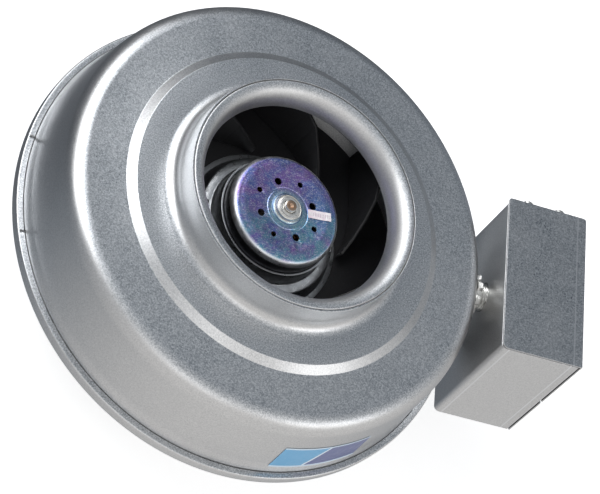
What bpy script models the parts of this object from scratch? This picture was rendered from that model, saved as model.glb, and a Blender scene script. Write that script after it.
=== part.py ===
"""Round inline duct fan with an external-rotor motor and a side terminal box.

Metres, +Z up. The origin is the centre of the outlet spigot's rim, +Z is the fan's axis towards the
inlet, and +X points to the terminal box. Depths are measured down from the inlet spigot's rim.
"""

import math

import bmesh
import bpy
from mathutils import Matrix, Vector

# Overall
HEIGHT = 0.162
SHEET = 0.001
GAP = 0.0003
SEGMENTS = 36
MOTOR_SEGMENTS = 32

# Both spigots
SPIGOT_R = 0.0745
SPIGOT_STRAIGHT = 0.0148
SPIGOT_FILLET = 0.008

# Inlet casing: face, step, corner, side wall and flange
FACE_STEP_R = 0.0984
FACE_STEP_WIDTH = 0.0058
FACE_STEP_DROP = 0.0032
FACE_STEP_EASE = 0.0006
CORNER_START_R = 0.1275
CORNER_RADIUS = 0.0115
WALL_TAPER = math.radians(6.5)
FLARE_DEPTH = 0.070
SEAM_DEPTH = 0.080
SEAM_FLARE = 0.0023
SEAM_FLANGE = 0.0031

# Outlet casing: crimped hem, rim and cone
HEM_WIDTH = 0.0042
HEM_ROUND = 0.0012
RIM_HEIGHT = 0.0058
RIM_CORNER = 0.004
HEM_SLITS_DEG = (170.5, -164.8)
HEM_SLIT_WIDTH = 0.0006

# Inlet ring
THROAT_INSET = 0.0119
THROAT_R = SPIGOT_R - THROAT_INSET
THROAT_DEPTH = 0.0137
NOZZLE_LENGTH = 0.0008
RING_SKIRT = 0.006

# Impeller
IMPELLER_R = 0.095
SHROUD_TOP_DEPTH = 0.0115
SHROUD_CLEARANCE = 0.0018
SHROUD_BEND = 0.010
SHROUD_SLOPE = math.radians(20)
PLASTIC = 0.0015
PLATE_DEPTH = 0.0605
PLATE_DISH = 0.003
BLADES = 7
BLADE_THICKNESS = 0.002
BLADE_SETBACK = 0.0018
BLADE_TIP_INSET = 0.001
BLADE_SWEEP = math.radians(52)
BLADE_BOW = 0.16
BLADE_NOSE_HEIGHT = 0.006
BLADE_CLEARANCE = 0.0008
HUB_LIP_DEPTH = 0.037
HUB_SHELF_DEPTH = 0.049
HUB_SHELF_WIDTH = 0.0077
HUB_FLANGE_WIDTH = 0.0077
HUB_FOLD_WIDTH = 0.0035
HUB_FOLD_ROUND = 0.001
PLATE_OVERLAP = 0.002
HUB_HOLE_SHIFT = 0.0006
HUB_HOLES = 2
HUB_HOLE_R = 0.0014
HUB_HOLE_TURN = math.radians(177)

# Motor
ROTOR_R = 0.0358
HUB_SHELF_R = ROTOR_R + HUB_SHELF_WIDTH
HUB_FLANGE_R = HUB_SHELF_R + HUB_FLANGE_WIDTH
BLADE_ROOT_R = HUB_FLANGE_R + BLADE_SETBACK
ROTOR_DEPTH = 0.0247
ROTOR_LENGTH = 0.0473
ROTOR_EDGE = 0.0045
ROTOR_BOSS_R = 0.008
ROTOR_BOSS_HEIGHT = 0.0038
LARGE_HOLE_R = 0.0025
LARGE_HOLE_CIRCLE = 0.0182
SMALL_HOLE_R = 0.0019
SMALL_HOLE_CIRCLE = 0.0203
ROTOR_HOLE_TURN = math.radians(25)
CAGE_THICKNESS = 0.0075
AIR_GAP = 0.0004
SHAFT_R = 0.004
SHAFT_TIP_DEPTH = 0.019
BEARING_R = 0.011
BEARING_WIDTH = 0.007
TUBE_WALL = 0.002
STATOR_LENGTH = 0.026
STATOR_DEPTH = 0.046
WINDING_HEIGHT = 0.0075
FLANGE_R = 0.033
FLANGE_DEPTH = 0.084
FLANGE_THICKNESS = 0.004

# Motor bracket
BRACKET_ARMS = 4
BRACKET_SHEET = 0.002
BRACKET_DISC_R = 0.040
ARM_WIDTH = 0.018
ARM_OVERLAP = 0.006
ARM_DROP_R = 0.114
FOOT_START_R = 0.119
FOOT_LENGTH = 0.014
BRACKET_TURN = math.radians(45)
FLANGE_SCREWS = 3
FLANGE_SCREW_CIRCLE = 0.024
FLANGE_SCREW_TURN = math.radians(80)
SCREW_R = 0.002
SCREW_HEAD_R = 0.0036
SCREW_HEAD_HEIGHT = 0.0022

# Conduit nipple and its locknuts
NIPPLE_DEPTH = 0.0465
NIPPLE_Y = -0.0014
NIPPLE_R = 0.0088
NIPPLE_WALL = 0.0018
NIPPLE_INSIDE = 0.007
LOCKNUT_R = 0.0135
LOCKNUT_THICKNESS = 0.0035

# Terminal box
BOX_STANDOFF = 0.0094
BOX_X = 0.0535
BOX_Y = 0.105
BOX_Z = 0.0995
BOX_Y_OFFSET = 0.00186
BOX_Z_OFFSET = -0.01535
BOX_ROLL = math.radians(-1.7)
BOX_SHEET = 0.0012
BOX_CORNER = 0.0035
BOX_SEAM = 0.0008
COVER_CORNER = 0.002
COVER_FLANGE = 0.009
COVER_NOTCH_WIDTH = 0.0025
COVER_NOTCH_PLACE = 0.55
COVER_SCREW_X = (0.0140, 0.0357)
COVER_SCREW_INSET = 0.0039
COVER_SCREW_LENGTH = 0.006
KNOCKOUT_R = 0.011
KNOCKOUT_RIM = 0.0016
KNOCKOUT_PROUD = 0.0008

# Inside the terminal box
CAPACITOR_R = 0.015
CAPACITOR_LENGTH = 0.058
CAPACITOR_Y = 0.010
CAPACITOR_Z = -0.024
CAPACITOR_EDGE = 0.001
CLIP_WIDTH = 0.012
CLIP_STANDOFF = 0.003
TERMINAL_BLOCK = (0.018, 0.030, 0.022)
TERMINAL_BLOCK_X = 0.018
TERMINAL_BLOCK_Y = -0.040
TERMINAL_BLOCK_Z = 0.008
TERMINAL_BLOCK_EDGE = 0.001
EARTH_SCREW_Y = 0.030
EARTH_SCREW_Z = 0.020
EARTH_SCREW_LENGTH = 0.0008

# Labels
LABEL_START_DEG = -78.5
LABEL_END_DEG = -54.2
LABEL_TOP_DEPTH = 0.050
LABEL_BOTTOM_DEPTH = 0.0745
LABEL_THICKNESS = 0.0003
ROTOR_STICKER = (0.0155, 0.0055)
ROTOR_STICKER_R = 0.0217
ROTOR_STICKER_TURN = math.radians(8)

LEAD_R = 0.0027
LEAD_WALL_SPACE = 0.024
LEAD_SLACK = 0.020
LEAD_TURN = 0.012


def at(depth):
    """Height above the outlet rim of a depth below the inlet rim."""
    return HEIGHT - depth


# ---------------------------------------------------------------- outlines

def arc(centre_r, centre_z, radius, start, end, steps):
    """Points of an arc in the (r, z) plane, with angles in degrees from +r towards +z."""
    points = []
    for i in range(steps + 1):
        angle = math.radians(start + (end - start) * i / steps)
        points.append((centre_r + radius * math.cos(angle), centre_z + radius * math.sin(angle)))
    return points


def thickened(outline, thickness):
    """Closed loop of an open outline and its mitred copy, thickness to the right of its direction."""
    count = len(outline)
    inner = []
    for i in range(count):
        before = outline[max(i - 1, 0)]
        here = outline[i]
        after = outline[min(i + 1, count - 1)]
        first = Vector((here[0] - before[0], here[1] - before[1]))
        second = Vector((after[0] - here[0], after[1] - here[1]))
        if first.length == 0:
            first = second
        if second.length == 0:
            second = first
        first.normalize()
        second.normalize()
        right = Vector((first.y + second.y, -first.x - second.x)).normalized()
        reach = thickness / max(0.5, right.dot(Vector((first.y, -first.x))))
        inner.append((here[0] + right.x * reach, here[1] + right.y * reach))
    return outline + inner[::-1]


def height_on(outline, r):
    """Height of an outline that runs outwards, at radius r."""
    for (r0, z0), (r1, z1) in zip(outline, outline[1:]):
        if r0 <= r <= r1 and r1 > r0:
            return z0 + (z1 - z0) * (r - r0) / (r1 - r0)
    return outline[-1][1]


# ---------------------------------------------------------------- objects

def material(name, colour, roughness, metallic):
    made = bpy.data.materials.new(name)
    made.use_nodes = True
    shader = made.node_tree.nodes["Principled BSDF"]
    shader.inputs["Base Color"].default_value = (*colour, 1)
    shader.inputs["Roughness"].default_value = roughness
    shader.inputs["Metallic"].default_value = metallic
    return made


def empty(name, matrix):
    made = bpy.data.objects.new(name, None)
    bpy.context.collection.objects.link(made)
    made.matrix_world = matrix
    return made


def add(name, mesh, look, parent=None):
    """Links a mesh as a named object with its own material, riding on a parent empty."""
    mesh.name = name
    mesh.materials.append(material(name, *look))
    made = bpy.data.objects.new(name, mesh)
    bpy.context.collection.objects.link(made)
    made.parent = parent
    return made


def closed_mesh(build):
    """Mesh from a bmesh that build fills, with its faces turned outwards."""
    mesh = bpy.data.meshes.new("made")
    bm = bmesh.new()
    build(bm)
    bmesh.ops.recalc_face_normals(bm, faces=bm.faces)
    bm.to_mesh(mesh)
    bm.free()
    return mesh


def smooth(mesh):
    mesh.shade_smooth()
    mesh.set_sharp_from_angle(angle=math.radians(35))
    return mesh


def ring_mesh(loop, segments=SEGMENTS, sweep=math.tau, start=0.0):
    """Turns a closed (r, z) loop that stays off the axis, all the way round or through a sweep."""
    whole = sweep >= math.tau

    def build(bm):
        rows = []
        for i in range(segments if whole else segments + 1):
            angle = start + sweep * i / segments
            turn = (math.cos(angle), math.sin(angle))
            rows.append([bm.verts.new((r * turn[0], r * turn[1], z)) for r, z in loop])
        for i in range(segments):
            row = rows[i]
            after = rows[(i + 1) % len(rows)]
            for k in range(len(loop)):
                n = (k + 1) % len(loop)
                bm.faces.new((row[k], row[n], after[n], after[k]))
        if not whole:
            bm.faces.new(rows[0])
            bm.faces.new(rows[-1])

    return smooth(closed_mesh(build))


def turned_mesh(outline, segments=24):
    """Turns an (r, z) outline whose two ends lie on the axis."""

    def build(bm):
        first = bm.verts.new((0, 0, outline[0][1]))
        last = bm.verts.new((0, 0, outline[-1][1]))
        rows = []
        for i in range(segments):
            angle = math.tau * i / segments
            rows.append(
                [bm.verts.new((r * math.cos(angle), r * math.sin(angle), z)) for r, z in outline[1:-1]]
            )
        for i in range(segments):
            row = rows[i]
            after = rows[(i + 1) % segments]
            bm.faces.new((first, row[0], after[0]))
            bm.faces.new((last, after[-1], row[-1]))
            for k in range(len(row) - 1):
                bm.faces.new((row[k], row[k + 1], after[k + 1], after[k]))

    return smooth(closed_mesh(build))


def tube_loop(inner, outer, low, high):
    return [(outer, high), (outer, low), (inner, low), (inner, high)]


def block_mesh(low, high, corner=0.0, edge=0.0):
    """Block between two corners, its edges along Z rounded by corner and its top edges by edge."""

    def build(bm):
        bmesh.ops.create_cube(bm, size=1)
        middle = [(a + b) / 2 for a, b in zip(low, high)]
        size = [b - a for a, b in zip(low, high)]
        bmesh.ops.scale(bm, vec=size, verts=bm.verts)
        bmesh.ops.translate(bm, vec=middle, verts=bm.verts)
        if corner:
            upright = [e for e in bm.edges if abs(e.verts[0].co.z - e.verts[1].co.z) > size[2] / 2]
            bmesh.ops.bevel(bm, geom=upright, offset=corner, segments=3, profile=0.5, affect="EDGES")
        if edge:
            top = [e for e in bm.edges if min(v.co.z for v in e.verts) > high[2] - GAP / 10]
            bmesh.ops.bevel(bm, geom=top, offset=edge, segments=2, profile=0.5, affect="EDGES")

    return closed_mesh(build)


def panel_mesh(low, high, corners):
    """Block with a radius of its own for each edge along Z, anticlockwise from -X -Y."""
    spots = (
        (low[0], low[1], 1, 1),
        (high[0], low[1], -1, 1),
        (high[0], high[1], -1, -1),
        (low[0], high[1], 1, -1),
    )
    outline = []
    for i, (x, y, side_x, side_y) in enumerate(spots):
        r = corners[i]
        start = 180 + 90 * i
        outline += arc(x + side_x * r, y + side_y * r, r, start, start + 90, 3) if r else [(x, y)]

    def build(bm):
        lower = [bm.verts.new((x, y, low[2])) for x, y in outline]
        upper = [bm.verts.new((x, y, high[2])) for x, y in outline]
        bm.faces.new(lower)
        bm.faces.new(upper)
        for i in range(len(outline)):
            k = (i + 1) % len(outline)
            bm.faces.new((lower[i], lower[k], upper[k], upper[i]))

    return closed_mesh(build)


def cylinder_mesh(radius, low, high, segments=24):
    return turned_mesh([(0, high), (radius, high), (radius, low), (0, low)], segments)


def cutter(name, mesh, parent=None, matrix=None):
    made = bpy.data.objects.new(name, mesh)
    bpy.context.collection.objects.link(made)
    made.parent = parent
    if matrix is not None:
        made.matrix_local = matrix
    made.hide_render = True
    made.display_type = "WIRE"
    return made


def combine(target, tool, operation):
    change = target.modifiers.new(tool.name, "BOOLEAN")
    change.operation = operation
    change.solver = "EXACT"
    change.object = tool


# ---------------------------------------------------------------- looks

GALVANISED = ((0.56, 0.59, 0.62), 0.38, 0.9)
ZINC = ((0.70, 0.71, 0.70), 0.32, 0.9)
PASSIVATED = ((0.26, 0.27, 0.55), 0.32, 0.85)
BLACK_PLASTIC = ((0.02, 0.02, 0.022), 0.45, 0.0)
DARK_STEEL = ((0.10, 0.10, 0.105), 0.45, 0.7)
BRIGHT_STEEL = ((0.74, 0.74, 0.72), 0.22, 1.0)
COPPER = ((0.62, 0.28, 0.14), 0.4, 0.8)
CAST = ((0.52, 0.53, 0.54), 0.5, 0.8)
WHITE_PLASTIC = ((0.82, 0.82, 0.80), 0.4, 0.0)
BLUE_LABEL = ((0.09, 0.34, 0.70), 0.4, 0.0)
GREEN_SCREW = ((0.10, 0.42, 0.16), 0.4, 0.6)
GREY_SHEATH = ((0.22, 0.22, 0.23), 0.5, 0.0)


# ---------------------------------------------------------------- casings

def face_depth():
    """Depth of the inlet casing's inner face."""
    return SPIGOT_STRAIGHT + SPIGOT_FILLET


def inlet_outline():
    """Outer surface of the inlet casing, from the spigot's rim to the end of the seam flange."""
    inner_face = at(face_depth())
    outer_face = inner_face - FACE_STEP_DROP
    points = [(SPIGOT_R, at(0))]
    points += arc(SPIGOT_R + SPIGOT_FILLET, at(SPIGOT_STRAIGHT), SPIGOT_FILLET, 180, 270, 3)
    points.append((FACE_STEP_R, inner_face))
    points.append((FACE_STEP_R + FACE_STEP_EASE, inner_face - 0.1 * FACE_STEP_DROP))
    points.append((FACE_STEP_R + FACE_STEP_WIDTH - FACE_STEP_EASE, outer_face + 0.1 * FACE_STEP_DROP))
    points.append((FACE_STEP_R + FACE_STEP_WIDTH, outer_face))
    taper = math.degrees(WALL_TAPER)
    points += arc(CORNER_START_R, outer_face - CORNER_RADIUS, CORNER_RADIUS, 90, taper, 4)
    wall_r, wall_z = points[-1]
    flare_z = at(FLARE_DEPTH)
    flare_r = wall_r + (wall_z - flare_z) * math.tan(WALL_TAPER)
    points.append((flare_r, flare_z))
    points.append((flare_r + SEAM_FLARE, at(SEAM_DEPTH)))
    flange_z = at(SEAM_DEPTH) - SHEET - GAP
    points.append((flare_r + SEAM_FLARE, flange_z))
    points.append((flare_r + SEAM_FLARE + SEAM_FLANGE, flange_z))
    return points


def seam_radius():
    """Outer radius of the inlet casing's wall at the seam."""
    return inlet_outline()[-2][0]


def wall_radius(depth):
    """Outer radius of the inlet casing's side wall at a depth."""
    wall = [point for point in inlet_outline()[:-2] if point[1] < at(face_depth() + FACE_STEP_DROP)]
    z = at(depth)
    for (r0, z0), (r1, z1) in zip(wall, wall[1:]):
        if z1 <= z <= z0:
            return r0 + (r1 - r0) * (z0 - z) / (z0 - z1)
    return wall[-1][0]


def outlet_outline():
    """Outer surface of the outlet casing, from the hem's free edge to the outlet spigot's rim."""
    top = at(SEAM_DEPTH)
    hem_r = seam_radius() + GAP
    rim_r = hem_r + HEM_WIDTH
    points = [(hem_r, top)]
    points += arc(rim_r - HEM_ROUND, top - HEM_ROUND, HEM_ROUND, 90, 0, 2)
    corner_z = top - RIM_HEIGHT
    corner_r = rim_r - RIM_CORNER
    fillet_r = SPIGOT_R + SPIGOT_FILLET
    fillet_z = SPIGOT_STRAIGHT
    slope = cone_slope()
    points += arc(corner_r, corner_z, RIM_CORNER, 0, -90 + slope, 2)
    points += arc(fillet_r, fillet_z, SPIGOT_FILLET, 90 + slope, 180, 3)
    points.append((SPIGOT_R, 0))
    return points


def cone_slope():
    """Angle in degrees of the outlet casing's cone above the horizontal, tangent to both its bends."""
    rim_r = seam_radius() + GAP + HEM_WIDTH
    high = Vector((rim_r - RIM_CORNER, at(SEAM_DEPTH) - RIM_HEIGHT))
    low = Vector((SPIGOT_R + SPIGOT_FILLET, SPIGOT_STRAIGHT))
    span = high - low
    direct = math.atan2(span.y, span.x)
    return math.degrees(direct - math.asin((SPIGOT_FILLET + RIM_CORNER) / span.length))


def cone_inner_height(r):
    """Height of the cone's inner surface at radius r."""
    inner = thickened(outlet_outline(), SHEET)[len(outlet_outline()):]
    return height_on([p for p in inner if p[0] > SPIGOT_R and p[1] < at(SEAM_DEPTH) - RIM_HEIGHT / 2], r)


def make_inlet_casing(terminal_frame):
    casing = add("inlet_casing", ring_mesh(thickened(inlet_outline(), SHEET)), GALVANISED)
    hole = cylinder_mesh(NIPPLE_R + 2 * GAP, -0.008, 0.004)
    matrix = Matrix.Rotation(math.pi / 2, 4, "Y")
    combine(casing, cutter("casing_nipple_hole", hole, terminal_frame, matrix), "DIFFERENCE")


def make_outlet_casing():
    casing = add("outlet_casing", ring_mesh(thickened(outlet_outline(), SHEET)), GALVANISED)
    hem_r = seam_radius() + GAP
    for i, degrees in enumerate(HEM_SLITS_DEG):
        low = (hem_r - SHEET, -HEM_SLIT_WIDTH / 2, at(SEAM_DEPTH) - SHEET - GAP / 2)
        high = (hem_r + HEM_WIDTH - HEM_ROUND, HEM_SLIT_WIDTH / 2, at(SEAM_DEPTH) + SHEET)
        matrix = Matrix.Rotation(math.radians(degrees), 4, "Z")
        combine(casing, cutter(f"hem_slit_{i + 1}", block_mesh(low, high), None, matrix), "DIFFERENCE")
    for i in range(BRACKET_ARMS):
        hole = cylinder_mesh(SCREW_R + GAP, -0.006, 0.004, 12)
        combine(casing, cutter(f"cone_hole_{i + 1}", hole, None, foot_matrix(i)), "DIFFERENCE")


def make_inlet_ring():
    """Bell mouth: nozzle, quarter-ellipse lip and a skirt that sits inside the inlet spigot."""
    skirt_r = SPIGOT_R - SHEET - GAP
    lip_r = skirt_r - SHEET
    points = [(THROAT_R, at(THROAT_DEPTH + NOZZLE_LENGTH))]
    steps = 5
    for i in range(steps + 1):
        angle = math.pi / 2 * i / steps
        r = THROAT_R + (lip_r - THROAT_R) * (1 - math.cos(angle))
        points.append((r, at(THROAT_DEPTH) + THROAT_DEPTH * math.sin(angle)))
    points += arc(lip_r, at(SHEET), SHEET, 45, 0, 1)
    points.append((skirt_r, at(RING_SKIRT)))
    add("inlet_ring", ring_mesh(thickened(points, SHEET * 0.8)), GALVANISED)


# ---------------------------------------------------------------- impeller

def shroud_outline():
    """Upper surface of the impeller's front shroud, from its inlet lip outwards."""
    lip_r = THROAT_R + SHEET + SHROUD_CLEARANCE + PLASTIC
    bend_z = at(SHROUD_TOP_DEPTH + 0.0025)
    points = [(lip_r, at(SHROUD_TOP_DEPTH))]
    slope = math.degrees(SHROUD_SLOPE)
    points += arc(lip_r + SHROUD_BEND, bend_z, SHROUD_BEND, 180, 270 - slope, 3)
    end_r, end_z = points[-1]
    points.append((IMPELLER_R, end_z - (IMPELLER_R - end_r) * math.tan(SHROUD_SLOPE)))
    return points


def plate_height(r):
    """Upper surface of the back plate, dished down towards its rim."""
    share = (r - HUB_SHELF_R) / (IMPELLER_R - HUB_SHELF_R)
    return at(PLATE_DEPTH) - PLATE_DISH * share


def make_shroud(turning):
    add("impeller_shroud", ring_mesh(thickened(shroud_outline(), PLASTIC)), BLACK_PLASTIC, turning)


def make_back_plate(turning):
    inner_r = HUB_SHELF_R + PLATE_OVERLAP
    outline = [(inner_r, plate_height(inner_r)), (IMPELLER_R, plate_height(IMPELLER_R))]
    add("impeller_back_plate", ring_mesh(thickened(outline, PLASTIC)), BLACK_PLASTIC, turning)


def hub_outline():
    """Upper surface of the pressed hub: lip round the rotor, shelf with holes, outer flange."""
    lip_r = ROTOR_R + GAP
    flange_z = plate_height(HUB_FLANGE_R) + GAP + SHEET
    return [
        (lip_r, at(HUB_LIP_DEPTH)),
        (lip_r + 1.3 * SHEET, at(HUB_LIP_DEPTH)),
        (lip_r + 1.8 * SHEET, at(HUB_SHELF_DEPTH - 0.0015)),
        (lip_r + 3.0 * SHEET, at(HUB_SHELF_DEPTH)),
        (HUB_SHELF_R, at(HUB_SHELF_DEPTH)),
        (HUB_SHELF_R + HUB_FOLD_WIDTH, flange_z + HUB_FOLD_ROUND),
        (HUB_SHELF_R + HUB_FOLD_WIDTH + HUB_FOLD_ROUND, flange_z),
        (HUB_FLANGE_R, flange_z),
    ]


def make_hub(turning):
    """Steel dish between the rotor and the plastic back plate, with a ring of small holes."""
    surface = hub_outline()
    lip_r = surface[0][0]
    under_flange = surface[-1][1] - SHEET
    under_shelf = at(HUB_SHELF_DEPTH) - SHEET
    underside = [
        (HUB_FLANGE_R, under_flange),
        (HUB_SHELF_R + HUB_FOLD_WIDTH, under_flange),
        (HUB_SHELF_R - 0.0006, under_shelf),
        (lip_r, under_shelf),
    ]
    loop = surface + underside
    hub = add("impeller_hub", ring_mesh(loop, MOTOR_SEGMENTS), ZINC, turning)
    hole_circle = (HUB_SHELF_R + lip_r + 3.0 * SHEET) / 2 + HUB_HOLE_SHIFT
    for i in range(HUB_HOLES):
        turn = HUB_HOLE_TURN + math.tau * i / HUB_HOLES
        hole = cylinder_mesh(HUB_HOLE_R, at(HUB_SHELF_DEPTH) - 0.003, at(HUB_SHELF_DEPTH) + 0.003, 8)
        matrix = Matrix.Rotation(turn, 4, "Z") @ Matrix.Translation((hole_circle, 0, 0))
        combine(hub, cutter(f"hub_hole_{i + 1}", hole, turning, matrix), "DIFFERENCE")


def blade_point(share):
    """Radius and angle of the blade's mid line, from its nose (0) to its trailing edge (1)."""
    tip_r = IMPELLER_R - BLADE_TIP_INSET
    r = BLADE_ROOT_R + (tip_r - BLADE_ROOT_R) * share
    angle = BLADE_SWEEP * share + BLADE_BOW * math.sin(math.pi * share)
    return r, angle


def blade_heights(r):
    """Lowest and highest point of a blade at radius r, clear of the plate, hub flange and shroud."""
    low = plate_height(r) + GAP
    if r < HUB_FLANGE_R + BLADE_THICKNESS:
        low += SHEET + GAP
    under = thickened(shroud_outline(), PLASTIC)[len(shroud_outline()):][::-1]
    start_r = under[3][0]
    if r >= start_r:
        high = height_on(under, r) - BLADE_CLEARANCE
    else:
        nose = low + BLADE_NOSE_HEIGHT
        share = max(0.0, (r - BLADE_ROOT_R) / (start_r - BLADE_ROOT_R))
        high = nose + (height_on(under, start_r) - BLADE_CLEARANCE - nose) * share
    return low, high


def blade_mesh(steps=9):
    """Backward-curved blade that stands between the back plate and the shroud."""

    def build(bm):
        rows = []
        for i in range(steps + 1):
            r, angle = blade_point(i / steps)
            r2, angle2 = blade_point(i / steps + 0.01)
            here = Vector((r * math.cos(angle), r * math.sin(angle), 0))
            ahead = Vector((r2 * math.cos(angle2), r2 * math.sin(angle2), 0))
            along = (ahead - here).normalized()
            side = Vector((-along.y, along.x, 0)) * BLADE_THICKNESS / 2
            low, high = blade_heights(r)
            corners = [here + side, here - side]
            row = [bm.verts.new((c.x, c.y, low)) for c in corners]
            row += [bm.verts.new((c.x, c.y, high)) for c in corners[::-1]]
            rows.append(row)
        for row, after in zip(rows, rows[1:]):
            for k in range(4):
                n = (k + 1) % 4
                bm.faces.new((row[k], row[n], after[n], after[k]))
        bm.faces.new(rows[0])
        bm.faces.new(rows[-1])

    return smooth(closed_mesh(build))


def make_blades(turning):
    for i in range(BLADES):
        blade = add(f"impeller_blade_{i + 1}", blade_mesh(), BLACK_PLASTIC, turning)
        blade.rotation_euler.z = math.tau * i / BLADES


# ---------------------------------------------------------------- motor

def make_rotor(turning):
    """Cup with a boss for the shaft and eight holes in its face."""
    face = at(ROTOR_DEPTH)
    boss_top = face + ROTOR_BOSS_HEIGHT
    bore = SHAFT_R + GAP
    low = face - ROTOR_LENGTH
    inner_r = ROTOR_R - SHEET
    loop = [(bore, boss_top), (ROTOR_BOSS_R - 0.0008, boss_top), (ROTOR_BOSS_R, boss_top - 0.0008)]
    loop += arc(ROTOR_BOSS_R + 0.003, face + 0.003, 0.003, 180, 270, 3)
    loop += arc(ROTOR_R - ROTOR_EDGE, face - ROTOR_EDGE, ROTOR_EDGE, 90, 0, 4)
    loop += [(ROTOR_R, low), (inner_r, low)]
    loop += arc(ROTOR_R - ROTOR_EDGE, face - ROTOR_EDGE, ROTOR_EDGE - SHEET, 0, 90, 3)
    loop.append((bore, face - SHEET))
    cup = add("rotor_cup", ring_mesh(loop, MOTOR_SEGMENTS), PASSIVATED, turning)
    sizes = ((LARGE_HOLE_R, LARGE_HOLE_CIRCLE, 0), (SMALL_HOLE_R, SMALL_HOLE_CIRCLE, math.pi / 4))
    for radius, circle, shift in sizes:
        for i in range(4):
            turn = ROTOR_HOLE_TURN + shift + math.pi / 2 * i
            matrix = Matrix.Rotation(turn, 4, "Z") @ Matrix.Translation((circle, 0, 0))
            hole = cylinder_mesh(radius, face - 0.004, face + 0.004, 10)
            name = f"rotor_hole_{round(radius * 10000)}_{i + 1}"
            combine(cup, cutter(name, hole, turning, matrix), "DIFFERENCE")
    cage_outer = inner_r - GAP
    cage_top = at(STATOR_DEPTH - 0.002)
    cage_low = cage_top - STATOR_LENGTH - 0.002
    cage = tube_loop(cage_outer - CAGE_THICKNESS, cage_outer, cage_low, cage_top)
    add("rotor_cage", ring_mesh(cage, MOTOR_SEGMENTS), DARK_STEEL, turning)


def make_shaft(turning):
    tip = at(SHAFT_TIP_DEPTH)
    tail = at(FLANGE_DEPTH + FLANGE_THICKNESS) - 0.004
    outline = [
        (0, tip - 0.0012),
        (0.0012, tip),
        (SHAFT_R - 0.0006, tip),
        (SHAFT_R, tip - 0.0006),
        (SHAFT_R, tail + 0.0006),
        (SHAFT_R - 0.0006, tail),
        (0, tail),
    ]
    add("rotor_shaft", turned_mesh(outline, 16), BRIGHT_STEEL, turning)
    clip_top = at(FLANGE_DEPTH + FLANGE_THICKNESS) - 0.0012
    clip = tube_loop(SHAFT_R + GAP, SHAFT_R + 0.0021, clip_top - 0.001, clip_top)
    sweep = math.radians(300)
    add("shaft_circlip", ring_mesh(clip, 12, sweep), BRIGHT_STEEL, turning)


def make_rotor_sticker(turning):
    """Thin strip on the rotor's face, pointing outwards from the boss."""
    length, width = ROTOR_STICKER
    face = at(ROTOR_DEPTH) + GAP
    low = (ROTOR_STICKER_R - length / 2, -width / 2, face)
    high = (ROTOR_STICKER_R + length / 2, width / 2, face + GAP)
    sticker = add("rotor_sticker", block_mesh(low, high), WHITE_PLASTIC, turning)
    sticker.rotation_euler.z = ROTOR_STICKER_TURN


def make_stator():
    """Flange with the bearing tube, bearings, laminated core and its two winding heads."""
    tube_inner = BEARING_R + GAP
    tube_outer = tube_inner + TUBE_WALL
    flange_top = at(FLANGE_DEPTH)
    flange_low = flange_top - FLANGE_THICKNESS
    tube_top = at(STATOR_DEPTH - WINDING_HEIGHT / 2)
    loop = [
        (tube_outer, tube_top),
        (tube_outer, flange_top),
        (FLANGE_R, flange_top),
        (FLANGE_R, flange_low),
        (tube_inner, flange_low),
        (tube_inner, tube_top),
    ]
    flange = add("motor_flange", ring_mesh(loop, MOTOR_SEGMENTS), CAST)
    for i in range(FLANGE_SCREWS):
        hole = cylinder_mesh(SCREW_R + GAP, flange_low - 0.002, flange_top + 0.002, 12)
        combine(flange, cutter(f"flange_hole_{i + 1}", hole, None, flange_screw_matrix(i)), "DIFFERENCE")
    core_inner = tube_outer + GAP
    core_outer = ROTOR_R - SHEET - GAP - CAGE_THICKNESS - AIR_GAP
    core_top = at(STATOR_DEPTH)
    core_low = core_top - STATOR_LENGTH
    core_mesh = ring_mesh(tube_loop(core_inner, core_outer, core_low, core_top), MOTOR_SEGMENTS)
    add("stator_core", core_mesh, DARK_STEEL)
    for name, low in (("front_winding", core_top + GAP), ("rear_winding", core_low - GAP - WINDING_HEIGHT)):
        high = low + WINDING_HEIGHT
        round_off = 0.0015
        outer = core_outer - 0.002
        inner = core_inner + 0.001
        coil = [
            (outer - round_off, high),
            (outer, high - round_off),
            (outer, low + round_off),
            (outer - round_off, low),
            (inner + round_off, low),
            (inner, low + round_off),
            (inner, high - round_off),
            (inner + round_off, high),
        ]
        add(name, ring_mesh(coil, 20), COPPER)
    for name, high in (("front_bearing", tube_top - 0.001), ("rear_bearing", flange_low + 0.009)):
        bearing = tube_loop(SHAFT_R + GAP, BEARING_R, high - BEARING_WIDTH, high)
        add(name, ring_mesh(bearing, 20), BRIGHT_STEEL)


# ---------------------------------------------------------------- motor bracket

def bracket_top():
    return at(FLANGE_DEPTH + FLANGE_THICKNESS) - GAP


def flange_screw_matrix(i):
    turn = Matrix.Rotation(FLANGE_SCREW_TURN + math.tau * i / FLANGE_SCREWS, 4, "Z")
    return turn @ Matrix.Translation((FLANGE_SCREW_CIRCLE, 0, 0))


def foot_point():
    """Middle of a bracket foot on the cone's inner surface, as (r, z)."""
    r = FOOT_START_R + FOOT_LENGTH / 2
    return r, cone_inner_height(r)


def foot_matrix(i):
    """Frame on the cone under foot i: local +Z points out of the cone's inner surface."""
    r, z = foot_point()
    turn = Matrix.Rotation(BRACKET_TURN + math.tau * i / BRACKET_ARMS, 4, "Z")
    lean = Matrix.Rotation(-math.radians(cone_slope()), 4, "Y")
    return turn @ Matrix.Translation((r, 0, z)) @ lean


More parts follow.
